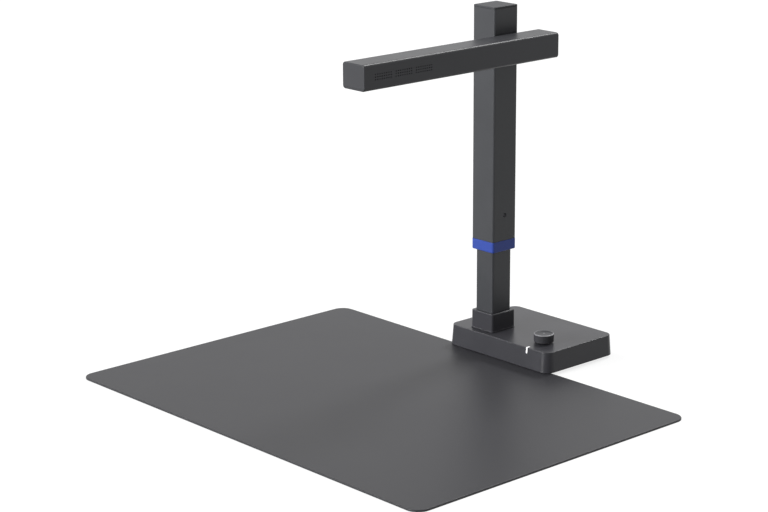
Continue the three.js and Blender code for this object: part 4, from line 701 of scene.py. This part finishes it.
class SCANNER_OT_base(bpy.types.Operator):
    """Make the moulded base with its openings, and its bottom plate"""

    bl_idname = "scanner.base"
    bl_label = "Base"

    def execute(self, context):
        settings = context.scene.scanner_base
        surface = base_plastic()
        housing = self.outside(settings, "base")
        self.hollow(settings, housing)
        self.top_holes(housing)
        self.light_slot(housing)
        self.socket_mouths(settings, housing)
        fit(smooth(housing), "base_housing", surface)
        fit(smooth(self.plate(settings), bevel=0.15 * MM), "base_plate", surface)
        return {"FINISHED"}

    @staticmethod
    def outside(settings, name):
        size = size_of("base_housing")
        shell = slab(name, size.x, size.y, size.z, settings.corner, settings.edge,
                     bottom=0.3 * MM, draft=settings.draft, corner_steps=16, edge_steps=6)
        return moved(shell, foot_of("base_housing"))

    @staticmethod
    def hollow(settings, housing):
        size = size_of("base_housing")
        wall = settings.wall
        room = slab("room", size.x - 2 * wall, size.y - 2 * wall, size.z - wall + SMALL_PAST,
                    settings.corner - wall, draft=settings.draft)
        cut(housing, moved(room, foot_of("base_housing") - Vector((0, 0, SMALL_PAST))))

    @staticmethod
    def top_holes(housing):
        """The holes of the dial's bush and of the column."""
        bush_radius = 4.3 * MM
        ledge = 2.2 * MM
        neck_corner = 2 * MM
        level = corners("base_housing")[1].z - THROUGH / 2
        dial = centre_of("dial_encoder")
        bush = rod("bush_hole", bush_radius, THROUGH, 48)
        cut(housing, moved(bush, (dial.x, dial.y, level)))
        size = size_of("column_collar")
        collar = centre_of("column_collar")
        neck = slab("neck_hole", size.x - 2 * ledge, size.y - 2 * ledge, THROUGH, neck_corner)
        cut(housing, moved(neck, (collar.x, collar.y, level)))

    @staticmethod
    def light_slot(housing):
        gap = 0.08 * MM
        low, high = corners("status_light")
        slot = box("light_slot", high.x - low.x + 2 * gap, THROUGH, THROUGH)
        cut(housing, moved(slot, ((low.x + high.x) / 2, high.y + gap - THROUGH / 2,
                                  low.z - gap)))

    @staticmethod
    def socket_mouths(settings, housing):
        """The two bevelled openings in the back wall."""
        gap = 0.25 * MM
        low, high = corners("base_housing")
        chamfer = settings.socket_chamfer
        for node, corner in (("power_socket", 1.6 * MM), ("accessory_socket", 0.6 * MM)):
            size = size_of(node)
            middle = centre_of(node)
            width = size.x + 2 * gap
            height = size.z + 2 * gap
            # The wall leans in, so the bevel starts deeper than its own width.
            flare = settings.draft * (middle.z - low.z) / size_of("base_housing").z + chamfer
            tight = rounded_outline(width, height, corner, 6)
            wide = rounded_outline(width + 2 * chamfer, height + 2 * chamfer,
                                   corner + chamfer, 6)
            mouth = loft("mouth", [
                (tight, -THROUGH), (tight, -flare), (wide, chamfer - flare),
                (wide, THROUGH / 2),
            ])
            cut(housing, moved(mouth, (middle.x, high.y, middle.z), TO_REAR))

    @staticmethod
    def plate(settings):
        pocket_radius = 5.3 * MM
        pocket_depth = 0.8 * MM
        size = size_of("base_plate")
        plate = slab("base_plate_sheet", size.x, size.y, size.z,
                     settings.corner - settings.wall, corner_steps=12)
        moved(plate, foot_of("base_plate"))
        level = corners("base_plate")[0].z
        pocket_level = level + pocket_depth - THROUGH / 2
        tools = []
        for corner in CORNERS:
            foot = foot_of(f"foot_{corner}")
            pocket = rod("pocket", pocket_radius, THROUGH / 2, 48)
            tools.append(moved(pocket, (foot.x, foot.y, pocket_level)))
            screw = foot_of(f"base_screw_{corner}")
            tools.append(moved(sink_tool(6 * MM), (screw.x, screw.y, level)))
        return cut(plate, *tools)


class SCANNER_OT_feet(bpy.types.Operator):
    """Make the rubber feet and the screws of the bottom plate"""

    bl_idname = "scanner.feet"
    bl_label = "Feet and screws"

    def execute(self, context):
        groove = context.scene.scanner_base.foot_groove
        groove_share = 0.55
        edge = 0.6 * MM
        rubber = soft_rubber("foot_rubber", (0.022, 0.022, 0.024), grain=0.5 * MM,
                             depth=0.02 * MM)
        steel = black_screw_steel()
        for corner in CORNERS:
            node = f"foot_{corner}"
            radius = size_of(node).x / 2
            height = size_of(node).z
            near = radius * groove_share
            far = near + groove
            foot = turned(f"rubber_foot_{corner}", [
                (0, 0), (near, 0), (near, groove), (far, groove), (far, 0),
                (radius - edge, 0), (radius - 0.3 * edge, 0.3 * edge), (radius, edge),
                (radius, height), (0, height),
            ])
            seat(foot, node, rubber, bevel=0.06 * MM)
            node = f"base_screw_{corner}"
            screw = countersunk(f"plate_screw_{corner}", size_of(node).z)
            seat(screw, node, steel)
        return {"FINISHED"}


class SCANNER_OT_sockets(bpy.types.Operator):
    """Make the two sockets in the back of the base"""

    bl_idname = "scanner.sockets"
    bl_label = "Sockets"

    def execute(self, context):
        steel = worked_metal("socket_steel", (0.62, 0.62, 0.63), 0.22, stretch=EVEN)
        tongue_surface = moulded("socket_tongue", (0.02, 0.02, 0.022), 0.4)
        root = 0.3 * MM
        for node, corner, thickness in (
            ("power_socket", 1.5 * MM, 0.7 * MM),
            ("accessory_socket", 0.5 * MM, 1.8 * MM),
        ):
            middle = centre_of(node)
            front = corners(node)[0].y
            shell = self.shell(node, corner)
            moved(shell, (middle.x, front, middle.z), TO_REAR)
            fit(smooth(shell), node, steel)
            blade = self.tongue(node, thickness)
            moved(blade, (middle.x, front + root, middle.z), TO_REAR)
            blade.data.materials.append(tongue_surface)
            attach(smooth(blade), "base")
        return {"FINISHED"}

    @staticmethod
    def shell(node, corner):
        wall = 0.35 * MM
        floor = 0.4 * MM
        size = size_of(node)
        shell = slab(f"{node}_shell", size.x, size.z, size.y, corner, top=0.12 * MM)
        room = slab("room", size.x - 2 * wall, size.z - 2 * wall, size.y,
                    max(corner - wall, 0.2 * MM))
        return cut(shell, moved(room, (0, 0, floor)))

    @staticmethod
    def tongue(node, thickness):
        margin = 1.2 * MM
        size = size_of(node)
        return slab(f"{node}_tongue", size.x - 2 * margin, thickness, size.y - margin,
                    0.2 * MM, top=0.15 * MM)


class SCANNER_OT_status_light(bpy.types.Operator):
    """Make the white light line over the base's front edge"""

    bl_idname = "scanner.status_light"
    bl_label = "Status light"

    def execute(self, context):
        low, high = corners("status_light")
        strip = SCANNER_OT_base.outside(context.scene.scanner_base, "light_line")
        keep = box("keep", high.x - low.x, THROUGH, THROUGH)
        moved(keep, ((low.x + high.x) / 2, high.y - THROUGH / 2, low.z))
        combine(strip, [keep], "INTERSECT")
        fit(smooth(strip), "status_light", white_guide("status_white"))
        return {"FINISHED"}


class SCANNER_OT_dial(bpy.types.Operator):
    """Make the ribbed dial with its turned rim"""

    bl_idname = "scanner.dial"
    bl_label = "Dial"

    def execute(self, context):
        settings = context.scene.scanner_dial
        size = size_of("dial_cap")
        radius = size.x / 2
        crown = self.ribbed_crown(settings, radius, size.z)
        self.hollow(crown, radius, size.z)
        moved(crown, foot_of("dial_cap"))
        body = moulded("dial_plastic", settings.tint, 0.42, grain=0.25 * MM, specular=0.18)
        rim = worked_metal("dial_rim", settings.rim_tint, 0.6, stretch=EVEN)
        fit(crown, "dial_cap", body)
        crown.data.materials.append(rim)
        self.paint_rim(settings, crown, radius)
        smooth(crown, 50)
        return {"FINISHED"}

    @staticmethod
    def hollow(crown, radius, height):
        """The groove inside the skirt, the shaft's bore and the room over the bush."""
        skirt = 1.6 * MM
        hub = 5 * MM
        bore_radius = 3.2 * MM
        bore_depth = 6 * MM
        room_radius = 5.2 * MM
        travel = 0.8 * MM
        ceiling = height - 2 * skirt
        groove = ring("groove", [
            (hub, -SMALL_PAST), (radius - skirt, -SMALL_PAST), (radius - skirt, ceiling),
            (hub, ceiling),
        ])
        bore = rod("bore", bore_radius, bore_depth + SMALL_PAST)
        rise = corners("dial_encoder")[1].z - corners("dial_cap")[0].z + travel
        room = rod("hub_room", room_radius, rise + SMALL_PAST)
        below = (0, 0, -SMALL_PAST)
        cut(crown, groove, moved(bore, below), moved(room, below))

    @staticmethod
    def ribbed_crown(settings, radius, height):
        count = settings.ribs * 6
        bevel = settings.bevel

        def outline(distance, share):
            points = []
            for i in range(count):
                angle = 2 * math.pi * i / count
                groove = (0.5 - 0.5 * math.cos(settings.ribs * angle)) * settings.rib_depth
                reach = distance - groove * share
                points.append((reach * math.cos(angle), reach * math.sin(angle)))
            return points

        foot_bevel = 0.2 * MM
        rib_start = 0.4 * MM
        rib_full = 1.1 * MM
        shoulder = height - bevel
        flat = radius - bevel - settings.rim
        floor = height - settings.dish
        rings = [
            (outline(radius - foot_bevel, 0), 0),
            (outline(radius, 0), foot_bevel),
            (outline(radius, 0), rib_start),
            (outline(radius, 1), rib_full),
            (outline(radius, 1), shoulder - 0.5 * MM),
            (outline(radius, 0), shoulder - 0.2 * MM),
            (outline(radius, 0), shoulder),
            (outline(radius - bevel, 0), height),
            (outline(flat, 0), height),
            (outline(flat - settings.dish, 0), floor),
            (outline(settings.mark * 2, 0), floor),
            (outline(settings.mark, 0), floor),
            (outline(settings.mark * 0.8, 0), floor - 0.15 * MM),
        ]
        return loft("ribbed_dial", rings)

    @staticmethod
    def paint_rim(settings, crown, radius):
        """Gives the rim's material to the rim and to the dimple in the middle."""
        middle = centre_of("dial_cap")
        top = corners("dial_cap")[1].z
        for face in crown.data.polygons:
            offset = face.center - middle
            away = math.hypot(offset.x, offset.y)
            on_rim = face.center.z > top - settings.bevel - 0.02 * MM
            outside = away > radius - settings.bevel - settings.rim
            on_mark = away < settings.mark and face.center.z > top - MM
            face.material_index = 1 if (on_rim and outside) or on_mark else 0


class SCANNER_OT_column(bpy.types.Operator):
    """Make the collar, the two tubes, the band, the cap and the detent"""

    bl_idname = "scanner.column"
    bl_label = "Column"

    def execute(self, context):
        settings = context.scene.scanner_column
        tube = moulded("tube_coating", settings.tint, 0.34, grain=0.22 * MM, depth=0.006 * MM)
        lid = moulded("cap_plastic", settings.tint, 0.5, specular=0.2)
        self.collar(settings, base_plastic())
        self.lower_tube(settings, tube)
        self.upper_tube(settings, tube)
        self.band(settings)
        self.cap(settings, lid)
        self.detent()
        return {"FINISHED"}

    @staticmethod
    def collar(settings, surface):
        lip = 0.5 * MM
        flange_height = 0.9 * MM
        gap = 0.2 * MM
        size = size_of("column_collar")
        middle = foot_of("column_collar")
        level = corners("base_housing")[1].z + settings.seam
        height = corners("column_collar")[1].z - level
        sleeve = slab("collar", size.x - 2 * lip, size.y - 2 * lip, height,
                      settings.collar_corner, settings.collar_edge, corner_steps=COLUMN_STEPS)
        flange = slab("flange", size.x, size.y, flange_height, settings.collar_corner + lip,
                      top=0.3 * MM, bottom=0.1 * MM, corner_steps=COLUMN_STEPS)
        fuse(sleeve, flange)
        inner = size_of("inner_tube")
        pierce(sleeve, inner.x + 2 * gap, inner.y + 2 * gap, height, settings.inner_corner,
               COLUMN_STEPS)
        moved(sleeve, (middle.x, middle.y, level))
        fit(smooth(sleeve), "column_collar", surface)

    @staticmethod
    def lower_tube(settings, surface):
        dimple_radius = 1.5 * MM
        dimple_depth = 0.7 * MM
        bar = hollow_bar("lower_tube", "inner_tube", settings.inner_corner, LOWER_WALL)
        side = corners("inner_tube")[1].x - dimple_depth
        cut_from_right(bar, rod("dimple", dimple_radius, 4 * MM), side, "height_detent")
        fit(smooth(bar), "inner_tube", surface)

    @staticmethod
    def upper_tube(settings, surface):
        inside = 4 * MM  # how far within the tube's right face the tools start
        detent_radius = 1.65 * MM
        pivot_radius = 5.3 * MM
        pin_radius = 1.3 * MM
        bar = hollow_bar("upper_tube", "outer_tube", settings.corner, UPPER_WALL)
        right = corners("outer_tube")[1].x
        hole = turned("detent_hole", [
            (0, -inside), (detent_radius, -inside), (detent_radius, -0.5 * MM),
            (2.2 * MM, 0), (2.2 * MM, PAST), (0, PAST),
        ])
        cut_from_right(bar, hole, right, "height_detent")
        bore = rod("bore", pivot_radius, inside + PAST, 48)
        cut_from_right(bar, bore, right - inside, "pivot_shaft")
        pin_hole = rod("pin_hole", pin_radius, inside + PAST)
        cut_from_right(bar, pin_hole, right - inside, "hinge_stop_pin")
        for node in ("hinge_screw_upper", "hinge_screw_lower"):
            sink = turned("sink", [
                (0, -5 * MM), (1.2 * MM, -5 * MM), (1.2 * MM, -1.6 * MM),
                (2.5 * MM, -0.2 * MM), (2.5 * MM, SMALL_PAST), (0, SMALL_PAST),
            ], 32)
            cut_from_right(bar, sink, right, node)
        fit(smooth(bar), "outer_tube", surface)

    @staticmethod
    def band(settings):
        inset = UPPER_WALL + 0.1 * MM
        gap = 0.3 * MM
        size = size_of("slide_band")
        tube = size_of("outer_tube")
        inner = size_of("inner_tube")
        height = corners("outer_tube")[0].z - corners("slide_band")[0].z - settings.seam
        band = slab("blue_band", size.x, size.y, height, settings.corner + 0.2 * MM,
                    top=0.2 * MM, bottom=settings.band_edge, corner_steps=COLUMN_STEPS)
        sleeve = slab("sleeve", tube.x - 2 * inset, tube.y - 2 * inset, size.z - height / 2,
                      INSERT_CORNER)
        fuse(band, moved(sleeve, (0, 0, height / 2)))
        pierce(band, inner.x + 2 * gap, inner.y + 2 * gap, size.z, settings.inner_corner,
               COLUMN_STEPS)
        surface = moulded("blue_plastic", settings.band_tint, 0.38, grain=0.3 * MM,
                          depth=0.006 * MM)
        seat(band, "slide_band", surface)

    @staticmethod
    def cap(settings, surface):
        inset = UPPER_WALL + 0.2 * MM
        overlap = 0.5 * MM
        size = size_of("column_cap")
        top = corners("column_cap")[1].z
        level = corners("outer_tube")[1].z + settings.seam
        middle = foot_of("column_cap")
        lid = slab("top_cap", size.x, size.y, top - level, settings.corner,
                   settings.cap_edge, corner_steps=COLUMN_STEPS)
        moved(lid, (middle.x, middle.y, level))
        plug = slab("plug", size.x - 2 * inset, size.y - 2 * inset,
                    level - middle.z + overlap, INSERT_CORNER)
        fuse(lid, moved(plug, middle))
        fit(smooth(lid), "column_cap", surface)

    @staticmethod
    def detent():
        radius = 1.5 * MM
        edge = 0.2 * MM
        groove = 0.6 * MM  # width and depth of the slot for a screwdriver
        low, high = corners("height_detent")
        reach = high.x - low.x
        plug = turned("detent_plug", [
            (0, 0), (radius / 2, 0), (radius, radius / 2), (radius, reach - edge),
            (radius - edge, reach), (0, reach),
        ])
        slot = box("slot", 5 * MM, groove, PAST)
        cut(plug, moved(slot, (0, 0, reach - groove)))
        middle = centre_of("height_detent")
        moved(plug, (low.x, middle.y, middle.z), TO_RIGHT)
        fit(smooth(plug), "height_detent", black_screw_steel())


class SCANNER_OT_arm(bpy.types.Operator):
    """Make the arm's moulded shell with its vents, and its cover"""

    bl_idname = "scanner.arm"
    bl_label = "Arm"

    def execute(self, context):
        settings = context.scene.scanner_arm
        surface = arm_plastic()
        shell = self.bar(settings, "arm_top_shell")
        self.trim(shell, corners("arm_shell")[0].z - TRIM)
        self.hollow(settings, shell)
        self.hinge_side(settings, shell)
        self.vents(settings, shell)
        fit(smooth(shell), "arm_shell", surface)
        self.cover(settings, surface)
        return {"FINISHED"}

    @staticmethod
    def whole_box():
        """The arm's low corner, middle and size, shell and cover together."""
        low = corners("arm_cover")[0]
        high = corners("arm_shell")[1]
        return low, (low + high) / 2, high - low

    @classmethod
    def bar(cls, settings, name):
        low, middle, size = cls.whole_box()
        whole = slab(name, size.x, size.z, size.y, settings.edge, settings.end_edge,
                     settings.end_edge, corner_steps=12, edge_steps=6)
        return moved(whole, (middle.x, low.y, middle.z), TO_REAR)

    @classmethod
    def trim(cls, piece, level):
        """Cuts off what stands over a level, up to TRIM above it."""
        _, middle, size = cls.whole_box()
        block = box("block", size.x + 10 * MM, size.y + 10 * MM, TRIM)
        cut(piece, moved(block, (middle.x, middle.y, level)))

    @classmethod
    def hollow(cls, settings, shell):
        low, middle, size = cls.whole_box()
        wall = settings.wall
        room = slab("room", size.x - 2 * wall, size.y - 2 * wall, size.z - wall, MM)
        cut(shell, moved(room, (middle.x, middle.y, low.z)))

    @staticmethod
    def hinge_side(settings, shell):
        """The hole of the pivot and the curved slot in which the stop pin runs."""
        pivot_radius = 5.2 * MM
        slot_depth = 1.3 * MM
        pivot = centre_of("pivot_shaft")
        left = corners("arm_shell")[0].x
        bore = rod("bore", pivot_radius, 6 * MM, 48)
        cut_from_right(shell, bore, left - PAST, "pivot_shaft")
        half = settings.stop_half_width
        stop = centre_of("hinge_stop_pin") - pivot
        circle = math.hypot(stop.y, stop.z)
        end = math.asin(half / circle)
        finish = math.atan2(stop.z, stop.y) + end
        start = finish - math.radians(90) - 2 * end
        steps = 24
        outline = []
        for distance, order in ((circle + half, range(steps + 1)),
                                (circle - half, range(steps, -1, -1))):
            for step in order:
                angle = start + (finish - start) * step / steps
                outline.append((distance * math.cos(angle), distance * math.sin(angle)))
        slot = loft("slot", [(outline, -PAST), (outline, slot_depth)])
        # Takes the outline's two directions to +Y and +Z, and its height to +X
        turn = Matrix(((0, 0, 1, 0), (1, 0, 0, 0), (0, 1, 0, 0), (0, 0, 0, 1)))
        cut(shell, moved(slot, (left, pivot.y, pivot.z), turn))

    @staticmethod
    def vents(settings, shell):
        inside = 4 * MM
        low = corners("arm_cover")[0]
        high = corners("arm_shell")[1]
        radius = settings.vent_radius
        rim = radius + VENT_BEVEL
        holes = []
        for group, column, row in product(range(settings.vent_groups),
                                          range(settings.vent_columns),
                                          range(settings.vent_rows)):
            along = low.y + settings.vent_from_tip
            along += group * settings.vent_group_step + column * settings.vent_pitch
            level = (low.z + high.z) / 2
            level += (row - (settings.vent_rows - 1) / 2) * settings.vent_row_pitch
            hole = turned("vent", [
                (0, -inside), (radius, -inside), (radius, -VENT_BEVEL), (rim, 0),
                (rim, SMALL_PAST), (0, SMALL_PAST),
            ], 14)
            holes.append(moved(hole, (high.x, along, level), TO_RIGHT))
        cut(shell, merged("vents", holes))

    @classmethod
    def cover(cls, settings, surface):
        cover = cls.bar(settings, "arm_bottom_cover")
        low = corners("arm_cover")[0]
        cls.trim(cover, low.z + COVER_SHEET)
        tools = [cls.lamp_opening(node, low.z) for node in LAMP_WINDOWS]
        tools.append(cls.camera_opening(low.z))
        for place in ARM_SCREWS:
            screw = foot_of(f"arm_screw_{place}")
            tools.append(moved(sink_tool(5 * MM), (screw.x, screw.y, low.z)))
        cut(cover, *tools)
        fit(smooth(cover), "arm_cover", surface)

    @staticmethod
    def lamp_opening(node, level):
        gap = 0.2 * MM
        size = size_of(node)
        place = centre_of(node)
        opening = slab("window", size.x - 2 * (LAMP_FLANGE - gap),
                       size.y - 2 * (LAMP_FLANGE - gap), 6 * MM, 2.1 * MM)
        return moved(opening, (place.x, place.y, level - PAST))

    @staticmethod
    def camera_opening(level):
        """A stepped hole: a fine bevel, the seat of the window and the way through."""
        seat_radius = 8.2 * MM
        bevel_radius = 8.6 * MM
        way_radius = 7.1 * MM
        seat_level = 1.5 * MM
        place = centre_of("camera_window")
        sight = turned("sight", [
            (0, -PAST), (bevel_radius, -PAST), (bevel_radius, 0), (seat_radius, 0.3 * MM),
            (seat_radius, seat_level), (way_radius, seat_level), (way_radius, 5 * MM),
            (0, 5 * MM),
        ], 64)
        return moved(sight, (place.x, place.y, level))


class SCANNER_OT_arm_screws(bpy.types.Operator):
    """Make the screws of the arm's cover and of the hinge"""

    bl_idname = "scanner.arm_screws"
    bl_label = "Arm and hinge screws"

    def execute(self, context):
        steel = black_screw_steel()
        for place in ARM_SCREWS:
            node = f"arm_screw_{place}"
            seat(countersunk(f"cover_screw_{place}", size_of(node).z), node, steel)
        for place in ("upper", "lower"):
            node = f"hinge_screw_{place}"
            screw = countersunk(f"column_screw_{place}", size_of(node).x)
            middle = centre_of(node)
            moved(screw, (corners(node)[1].x, middle.y, middle.z), TO_LEFT)
            fit(smooth(screw), node, steel)
        return {"FINISHED"}


class SCANNER_OT_camera(bpy.types.Operator):
    """Make the camera: window, barrel and front glass"""

    bl_idname = "scanner.camera"
    bl_label = "Camera"

    def execute(self, context):
        pane_glass = dark_glass("pane_glass", (0.75, 0.78, 0.8), transmission=0.95)
        seat(self.pane(), "camera_window", pane_glass)
        anodised = moulded("barrel_anodising", (0.02, 0.02, 0.022), 0.35, grain=0.2 * MM,
                           depth=0.004 * MM, specular=0.5, drift=0.05, metallic=0.6)
        seat(self.barrel(), "lens_barrel", anodised)
        coating = dark_glass("lens_coating", (0.012, 0.014, 0.03))
        seat(self.front_glass(), "lens_glass", coating)
        return {"FINISHED"}

    @staticmethod
    def pane():
        edge = 0.2 * MM
        size = size_of("camera_window")
        radius = size.x / 2
        return turned("camera_pane", [
            (0, 0), (radius - edge, 0), (radius, edge), (radius, size.z), (0, size.z),
        ], 64)

    @staticmethod
    def barrel():
        """A stepped ring, wide at the front."""
        size = size_of("lens_barrel")
        outer = size.x / 2
        return ring("camera_barrel", [
            (outer - 0.6 * MM, 0), (outer - 0.15 * MM, 0), (outer, 0.15 * MM),
            (outer, size.z), (outer - 2.4 * MM, size.z), (outer - 2.4 * MM, 3.2 * MM),
            (outer - 1.2 * MM, 3.2 * MM), (outer - 1.2 * MM, 1.4 * MM),
            (outer - 1.0 * MM, 1.0 * MM), (outer - 1.0 * MM, 0.8 * MM),
            (outer - 0.8 * MM, 0.6 * MM), (outer - 0.8 * MM, 0.3 * MM),
        ], 64)

    @staticmethod
    def front_glass():
        """A lens whose domed front face looks down."""
        steps = 8
        depth = 0.9 * MM
        size = size_of("lens_glass")
        reach = size.x / 2
        dome = [(0, 0)]
        for step in range(1, steps + 1):
            share = step / steps
            dome.append((reach * share, depth * (1 - math.sqrt(1 - 0.75 * share * share))))
        dome += [(reach, size.z), (0, size.z)]
        return turned("camera_glass", dome, 48)


class SCANNER_OT_lamps(bpy.types.Operator):
    """Make the two fluted lamp windows"""

    bl_idname = "scanner.lamps"
    bl_label = "Lamps"

    def execute(self, context):
        settings = context.scene.scanner_lamps
        surface = milky_window("lamp_diffuser", settings.tint)
        for node in LAMP_WINDOWS:
            size = size_of(node)
            width = size.x - 2 * LAMP_FLANGE
            depth = size.y - 2 * LAMP_FLANGE
            face = slab(node.replace("_window", ""), width, depth, 2.4 * MM,
                        settings.corner, bottom=settings.edge, corner_steps=10)
            back = slab("flange", size.x, size.y, 0.8 * MM, settings.corner)
            fuse(face, moved(back, (0, 0, 2 * MM)))
            cut(face, self.flutes(settings, width, depth))
            seat(face, node, surface)
        return {"FINISHED"}

    @staticmethod
    def flutes(settings, width, depth):
        margin = 1.5 * MM
        pitch = settings.flute_pitch
        count = int((depth - 2 * margin) / pitch)
        flutes = []
        for i in range(count):
            along = (i - (count - 1) / 2) * pitch
            flute = slab("flute", width - 2 * margin, pitch / 2, MM, pitch / 4.2,
                         corner_steps=5)
            flutes.append(moved(flute, (0, along, settings.flute_depth - MM)))
        return merged("flutes", flutes)


class SCANNER_OT_inner_parts(bpy.types.Operator):
    """Give the boards, steel parts, nylon parts and lead their surfaces"""

    bl_idname = "scanner.inner_parts"
    bl_label = "Inner parts"

    def execute(self, context):
        laminate = circuit_laminate("circuit_laminate", (0.02, 0.12, 0.05))
        steel = plain_steel()
        black = black_screw_steel()
        nylon = moulded("nylon", (0.62, 0.61, 0.56), 0.5, grain=0.3 * MM)
        cast = worked_metal("cast_alloy", (0.3, 0.3, 0.31), 0.45, EVEN, depth=0.02 * MM)
        lead = soft_rubber("lead_jacket", (0.015, 0.015, 0.017), grain=0.4 * MM,
                           depth=0.01 * MM, roughness=0.5)
        holder = moulded("holder_plastic", (0.02, 0.02, 0.022), 0.6)
        groups = (
            (laminate, ("main_board", "camera_board", "lamp_board_front", "lamp_board_rear",
                        "arm_board")),
            (steel, ("ballast_plate", "board_screw_1", "board_screw_2", "dial_shaft",
                     "tube_cross_pin", "hinge_stop_pin", "pivot_shaft", "pivot_nut",
                     "disc_spring", "flange_screw_1", "flange_screw_2")),
            (black, ("dial_encoder", "column_bolt_front", "column_bolt_rear")),
            (nylon, ("tube_top_glide", "encoder_rotor", "friction_washer")),
            (cast, ("hinge_block", "tube_foot_block")),
            (lead, ("arm_lead",)),
            (holder, ("lens_holder",)),
        )
        for surface, nodes in groups:
            for node in nodes:
                mesh_object = frame["nodes"][node]
                mesh_object.data.materials.clear()
                mesh_object.data.materials.append(surface)
        return {"FINISHED"}


class SCANNER_OT_stage(bpy.types.Operator):
    """Set the floor, the soft light and the camera"""

    bl_idname = "scanner.stage"
    bl_label = "Stage"

    def execute(self, context):
        scene = context.scene
        settings = scene.scanner_stage
        self.floor(settings)
        self.sky(scene)
        self.lamps(scene)
        self.camera(scene, settings)
        scene.view_settings.view_transform = "Standard"
        return {"FINISHED"}

    @staticmethod
    def seen_directly(tree):
        """1 for camera, glossy and transmission rays, 0 for the rays that light."""
        path = add_node(tree, "ShaderNodeLightPath")
        first = add_node(tree, "ShaderNodeMath", operation="MAXIMUM")
        second = add_node(tree, "ShaderNodeMath", operation="MAXIMUM")
        tree.links.new(path.outputs["Is Camera Ray"], first.inputs[0])
        tree.links.new(path.outputs["Is Glossy Ray"], first.inputs[1])
        tree.links.new(first.outputs["Value"], second.inputs[0])
        tree.links.new(path.outputs["Is Transmission Ray"], second.inputs[1])
        return second.outputs["Value"]

    @classmethod
    def floor(cls, settings):
        shape = bmesh.new()
        bmesh.ops.create_grid(shape, x_segments=1, y_segments=1, size=settings.floor_size / 2)
        floor = moved(as_object("floor", shape), (0, 0, -FLOOR_DROP))
        material, tree, shader = blank_surface("floor_white", {
            "Base Color": tuple(settings.floor_tint) + (1.0,), "Roughness": 0.9,
            "Specular IOR Level": 0.0,
        })
        glow = add_node(tree, "ShaderNodeEmission")
        total = add_node(tree, "ShaderNodeAddShader")
        seen = add_node(tree, "ShaderNodeMath", operation="MULTIPLY")
        seen.inputs[1].default_value = FLOOR_GLOW
        tree.links.new(cls.seen_directly(tree), seen.inputs[0])
        tree.links.new(seen.outputs["Value"], glow.inputs["Strength"])
        tree.links.new(shader.outputs["BSDF"], total.inputs[0])
        tree.links.new(glow.outputs["Emission"], total.inputs[1])
        output = tree.nodes["Material Output"]
        tree.links.new(total.outputs["Shader"], output.inputs["Surface"])
        floor.data.materials.append(material)

    @classmethod
    def sky(cls, scene):
        world = bpy.data.worlds.new("studio")
        scene.world = world
        world.use_nodes = True
        tree = world.node_tree
        back = tree.nodes["Background"]
        back.inputs["Color"].default_value = (1, 1, 1, 1)
        strength = add_node(tree, "ShaderNodeMapRange")
        strength.inputs["To Min"].default_value = SKY_FILL
        strength.inputs["To Max"].default_value = 1.0
        tree.links.new(cls.seen_directly(tree), strength.inputs["Value"])
        tree.links.new(strength.outputs["Result"], back.inputs["Strength"])

    @staticmethod
    def lamps(scene):
        for name, round_about, height, width, power in STUDIO_LAMPS:
            data = bpy.data.lights.new(name, "SUN")
            data.angle = math.radians(width)
            data.energy = power
            lamp = bpy.data.objects.new(name, data)
            scene.collection.objects.link(lamp)
            lamp.rotation_euler = (0.0, math.radians(90 - height), math.radians(round_about))

    @staticmethod
    def camera(scene, settings):
        data = bpy.data.cameras.new("camera")
        data.sensor_width = SENSOR_WIDTH
        data.lens = settings.focal_length
        data.shift_x, data.shift_y = CAMERA_SHIFT
        data.clip_end = CAMERA_REACH
        camera = bpy.data.objects.new("camera", data)
        scene.collection.objects.link(camera)
        camera.location = settings.camera_place
        tilt = math.pi / 2 - settings.camera_down
        camera.rotation_euler = (tilt, 0.0, settings.camera_round)
        scene.camera = camera


SETTINGS = (
    ("scanner_mat", MatSettings),
    ("scanner_base", BaseSettings),
    ("scanner_column", ColumnSettings),
    ("scanner_dial", DialSettings),
    ("scanner_arm", ArmSettings),
    ("scanner_lamps", LampSettings),
    ("scanner_stage", StageSettings),
)

OPERATORS = (
    SCANNER_OT_stage,
    SCANNER_OT_mat,
    SCANNER_OT_base,
    SCANNER_OT_feet,
    SCANNER_OT_sockets,
    SCANNER_OT_status_light,
    SCANNER_OT_dial,
    SCANNER_OT_column,
    SCANNER_OT_arm,
    SCANNER_OT_arm_screws,
    SCANNER_OT_camera,
    SCANNER_OT_lamps,
    SCANNER_OT_inner_parts,
)


class SCANNER_PT_pieces(bpy.types.Panel):
    """Lists the pieces of the book scanner"""

    bl_idname = "SCANNER_PT_pieces"
    bl_label = "Book Scanner"
    bl_space_type = "VIEW_3D"
    bl_region_type = "UI"
    bl_category = "Book Scanner"

    def draw(self, context):
        for operator in OPERATORS:
            self.layout.operator(operator.bl_idname, text=operator.bl_label)
        for name, group in SETTINGS:
            column = self.layout.column(align=True)
            column.label(text=group.__name__)
            for key in group.__annotations__:
                column.prop(getattr(context.scene, name), key)


def register():
    for name, group in SETTINGS:
        bpy.utils.register_class(group)
        setattr(bpy.types.Scene, name, PointerProperty(type=group))
    for operator in OPERATORS:
        bpy.utils.register_class(operator)
    bpy.utils.register_class(SCANNER_PT_pieces)


def unregister():
    bpy.utils.unregister_class(SCANNER_PT_pieces)
    for operator in reversed(OPERATORS):
        bpy.utils.unregister_class(operator)
    for name, group in reversed(SETTINGS):
        delattr(bpy.types.Scene, name)
        bpy.utils.unregister_class(group)


def main():
    register()
    for operator in OPERATORS:
        group, action = operator.bl_idname.split(".")
        getattr(getattr(bpy.ops, group), action)()


if __name__ == "__main__":
    main()
